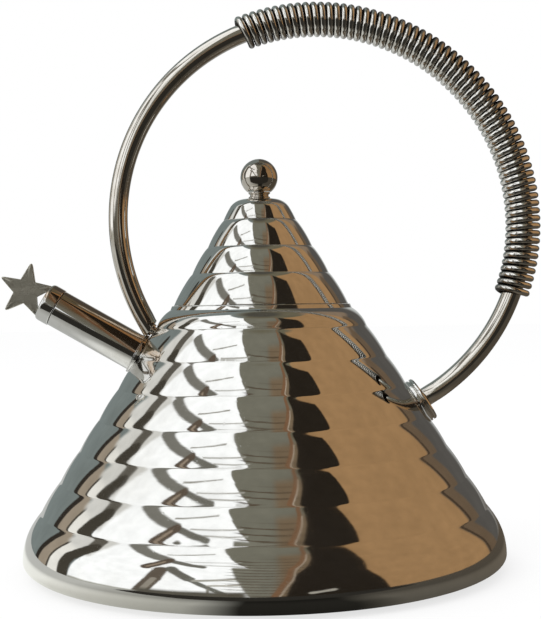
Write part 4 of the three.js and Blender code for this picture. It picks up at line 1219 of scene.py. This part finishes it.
# %% Ceiling, backdrop and the side walls
DAYLIGHT, CEILING, ZENITH = (1.22, 1.25, 1.27), (0.155, 0.14, 0.095), (0.085, 0.08, 0.065)
SHADE_BLUE, TAN_WALL, DOORWAY = (0.215, 0.25, 0.245), (0.395, 0.235, 0.11), (0.022, 0.017, 0.012)
FRAME, BROWN, THIN_LINE = (0.065, 0.058, 0.045), (0.205, 0.15, 0.095), (0.45, 0.44, 0.40)
wall(ZENITH, -200, 200, -90, 95, 1.0)
wall(CEILING, -200, 200, -90, 79, 8.0)
wall((0.20, 0.195, 0.155), -60, 34, 0, 74, 4.0)
wall(SHADE_BLUE, -200, -50, -90, 76, 10.0)
wall((0.10, 0.094, 0.086), 120, 200, -90, 62, 8.0)
wall((0.56, 0.58, 0.57), 162, 200, -90, 24, 12.0)
wall((0.42, 0.46, 0.45), -200, -172, -90, 30, 10.0)
wall((0.27, 0.20, 0.14), 118, 146, 30, 66, 6.0, left_lean=-0.5, right_lean=-0.5)
print("room: background painted")

# %% The windows, their frames and the slanting beam
wall(DAYLIGHT, -118, -9, 44, 61, 1.5, right_lean=-1.05, left_lean=0.35)
wall(DAYLIGHT, -112, -25, 60, 71.5, 1.8, right_lean=-1.6, left_lean=0.5)
wall((0.38, 0.32, 0.25), -131, -119, -3, 28, 2.0)
wall((0.98, 0.97, 0.92), -119, -108, -3, 36, 2.0)
beam((0.08, 0.07, 0.055), [(-120, -2), (-119, 26)], 0.9, 0.9)
wall(DAYLIGHT, -101, -58, -2, 51, 1.5)
wall(DAYLIGHT, -58, -7, 0, 46, 1.2, right_lean=-0.24)
beam((0.035, 0.03, 0.024), [(-132, -4), (-129, 30)], 2.0, 1.2)
wall((0.78, 0.78, 0.75), -122, -98, 26, 48, 4.0)
beam((0.13, 0.12, 0.10), [(-103.5, 33), (-111, 45)], 4.2, 1.6)
beam(FRAME, [(-105, -4), (-107, 18), (-103.5, 33)], 4.4, 1.4)
beam((0.22, 0.215, 0.19), [(-97, 50.3), (-58, 47)], 2.9, 1.5)
beam((0.19, 0.185, 0.16), [(-58, 47), (-34, 43.4)], 2.0, 1.2)
beam((0.14, 0.115, 0.09), [(-59, -5), (-53, 20), (-54, 33)], 4.2, 1.2)
beam((0.34, 0.31, 0.26), [(-58.5, -5), (-52.5, 20)], 1.7, 1.2)
beam((0.13, 0.10, 0.075), [(-63, 35), (-57.5, 46)], 3.5, 1.2)
beam((0.36, 0.29, 0.22), [(-63, 35), (-58.5, 44)], 0.9, 1.0)
beam((0.17, 0.165, 0.14), [(-50, 37), (-36, 24)], 3.0, 1.4)
beam((0.19, 0.19, 0.165), [(-36, 24), (-13, -2)], 1.9, 1.2)
beam((0.28, 0.27, 0.23), [(-26, -2), (-25.5, 11)], 0.7, 0.8)
beam((0.46, 0.45, 0.40), [(-33, 22), (-9, 29)], 1.5, 1.4)
beam((0.50, 0.48, 0.42), [(-26, 16), (-8, 19)], 1.1, 1.2)
beam((0.36, 0.35, 0.31), [(-64, 52), (-38, 61)], 0.6, 0.8)
beam(THIN_LINE, [(-48, 48.5), (-15, 53.5)], 0.45, 0.7)
beam(THIN_LINE, [(-37, 46), (-11, 48.5)], 0.45, 0.7)
wall((0.47, 0.47, 0.42), -101, -58, -4, 1.5, 2.0)
wall((0.12, 0.112, 0.09), -60, -8, -6, 5, 5.0, top_rise=0.05)
print("room: windows painted")

# %% The dim middle and its thin slats overhead
SLAT_STEP, SLAT_TILT, SLAT_SHARE, SLAT_CENTRE = 4.4, 0.07, 0.85, 2.0
wall((0.215, 0.21, 0.17), -7, 34, 0, 45, 2.0, left_lean=-0.26)
wall(BROWN, 4, 20, -2, 62, 7.0, left_lean=0.08, right_lean=0.35)
tilted = maths(room, "MULTIPLY_ADD", azimuth, SLAT_TILT, elevation)
slats = maths(room, "SINE", maths(room, "MULTIPLY", tilted, 2 * np.pi / SLAT_STEP))
centred = maths(room, "ABSOLUTE", maths(room, "SUBTRACT", azimuth, SLAT_CENTRE))
slat_mask = product(room, [spread(room, slats, 0.7, 0.9), spread(room, elevation, 60.0, 54.0),
                           spread(room, centred, 24.0, 17.0)])
paint(maths(room, "MULTIPLY", slat_mask, SLAT_SHARE), (0.085, 0.06, 0.038))
print("room: middle painted")

# %% The post, the doorway and the tan wall
wall(TAN_WALL, 50, 128, -8, 70, 1.5, right_lean=-0.08, top_rise=-0.12)
wall(DOORWAY, 8, 58, -6, 31, 1.2, left_lean=0.16, right_lean=-0.2)
wall(DOORWAY, 13, 50.5, 29.5, 90, 1.4, left_lean=0.64, right_lean=0.38, top_rise=-0.62)
beam((0.22, 0.12, 0.065), [(4, 0), (14, 42), (36, 72)], 1.6, 0.8)
beam((0.50, 0.42, 0.33), [(6.5, 0), (16.5, 42), (30, 61)], 0.4, 0.5)
beam((0.42, 0.40, 0.35), [(20, 3.5), (30, 6.5)], 1.6, 1.2)
wall((0.15, 0.105, 0.067), 128, 141, -6, 34, 3.0, left_lean=-0.1, right_lean=-0.2)
beam((0.06, 0.042, 0.028), [(129.5, -5), (126, 30)], 0.9, 0.9)
print("room: right painted,", len(painted), "layers in all")

# %% The camera sees white, plain light falls on dull surfaces, and mirrors see the room
cloud = spread(room, noise(room, look, 9.0, 6.0), 0.25, 0.75, 0.9, 1.08, smooth=False)
uneven_room = vectors(room, "SCALE", {0: painted[-1], "Scale": cloud})
paths = add(room, "ShaderNodeLightPath").outputs
for_mirrors, plain, white = (
    add(room, "ShaderNodeBackground", {"Color": shade, "Strength": 1.0}).outputs[0]
    for shade in (uneven_room, (0.99, 0.99, 1.0, 1.0), (1.0, 1.0, 1.0, 1.0))
)
unseen = add(room, "ShaderNodeMixShader", {
    "Fac": paths["Is Glossy Ray"], 1: plain, 2: for_mirrors}).outputs[0]
sky = add(room, "ShaderNodeMixShader", {
    "Fac": paths["Is Camera Ray"], 1: unseen, 2: white}).outputs[0]
add(room, "ShaderNodeOutputWorld", {"Surface": sky})
print("sky joined,", len(room.nodes), "nodes")

# %% [markdown]
# ## The table and the lamp
#
# The kettle stands on a plain white floor. Over a quarter of the floor's light is paint, which
# takes a soft shadow, and the rest is its own glow, so that it stays white. In the metal the same
# floor has the colours of the room's table: pale on the left, nearly black in front where the
# table ends, and grey-brown on the right.

# %% The floor's plane and its bearings
FLOOR_HALF, GLOW_SHARE = 6000.0, 0.72
floor_mesh = bpy.data.meshes.new("floor")
floor_corners = np.array([[-1, -1, 0], [1, -1, 0], [1, 1, 0], [-1, 1, 0]]) * FLOOR_HALF * MM
floor_mesh.from_pydata(floor_corners.tolist(), [], [[0, 1, 2, 3]])
floor = in_scene("floor", floor_mesh)
floor_paint, tree = new_material("floor_paint")
floor_mesh.materials.append(floor_paint)
spot = object_place(tree)
floor_x, floor_y, _floor_z = parts_of(tree, spot)
bearing = bearing_of(tree, floor_x, floor_y)

# %% The table's colours by bearing, dimmer farther out, and dark beyond its front edge
TABLE_STOPS = [
    (-180, (0.90, 0.92, 0.90)), (-75, (0.94, 0.95, 0.90)), (-45, (0.62, 0.62, 0.57)),
    (-18, (0.42, 0.42, 0.38)), (-6, (0.02, 0.019, 0.016)), (20, (0.02, 0.019, 0.016)),
    (32, (0.125, 0.115, 0.095)), (140, (0.16, 0.13, 0.095)), (165, (0.62, 0.62, 0.60)),
]
TABLE_EDGE, EDGE_BLUR, NEAR, FAR, FAR_SHARE = 178.0, 12, 135, 185, 0.58
table = add(tree, "ShaderNodeValToRGB", {"Fac": spread(tree, bearing, -180.0, 180.0, smooth=False)})
ramp = table.color_ramp.elements
while len(ramp) < len(TABLE_STOPS):
    ramp.new(0.5)
for element, (angle, shade) in zip(ramp, TABLE_STOPS):
    element.position = (angle + 180) / 360
    element.color = (*shade, 1.0)
past_edge = spread(tree, maths(tree, "MULTIPLY", floor_y, -1.0 / MM),
                   TABLE_EDGE, TABLE_EDGE + EDGE_BLUR)
in_front = spread(tree, maths(tree, "ABSOLUTE", bearing), 62.0, 58.0)
dimmer = spread(tree, hypotenuse(tree, floor_x, floor_y), NEAR * MM, FAR * MM, 1.0, FAR_SHARE)
near_table = vectors(tree, "SCALE", {0: table.outputs["Color"], "Scale": dimmer})
in_table = blend(tree, maths(tree, "MULTIPLY", past_edge, in_front), near_table,
                 (0.028, 0.026, 0.022))
print("table:", len(ramp), "colours by bearing")

# %% Floor: white to the camera, the table's colours to mirrors
paper = blend(tree, noise(tree, spot, 3.0, 3.0), (0.97, 0.97, 0.97), (0.95, 0.95, 0.95))
light_path = add(tree, "ShaderNodeLightPath").outputs
to_camera, to_mirror = light_path["Is Camera Ray"], light_path["Is Glossy Ray"]
floor_shader = add(tree, "ShaderNodeBsdfPrincipled", {
    "Base Color": blend(tree, to_mirror, paper, in_table), "Roughness": 0.8,
    "Specular IOR Level": 0.0})
glow = add(tree, "ShaderNodeEmission", {
    "Color": blend(tree, to_mirror, (1.0, 1.0, 1.0), in_table), "Strength": 1.0})
floor_mix = add(tree, "ShaderNodeMixShader", {
    "Fac": maths(tree, "MULTIPLY", maths(tree, "ADD", to_camera, to_mirror), GLOW_SHARE),
    1: floor_shader.outputs["BSDF"], 2: glow.outputs["Emission"]})
add(tree, "ShaderNodeOutputMaterial", {"Surface": floor_mix.outputs[0]})
print(f"floor: {GLOW_SHARE:.0%} glow")

# %% One soft lamp
LAMP_SIZE, LAMP_POWER = (1.6, 1.2), 16.0
LAMP_PLACE, LAMP_AIM = (-1.1, -1.2, 1.9), (0, 0, 0.1)
lamp = in_scene("softbox", bpy.data.lights.new("softbox", "AREA"))
lamp.data.shape = "RECTANGLE"
lamp.data.size, lamp.data.size_y = LAMP_SIZE
lamp.data.energy = LAMP_POWER
lamp.location = LAMP_PLACE
lamp.rotation_euler = (Vector(LAMP_AIM) - lamp.location).to_track_quat("-Z", "Y").to_euler()
lamp.visible_glossy = False
bpy.context.scene.view_settings.view_transform = "Standard"
print("stage ready")
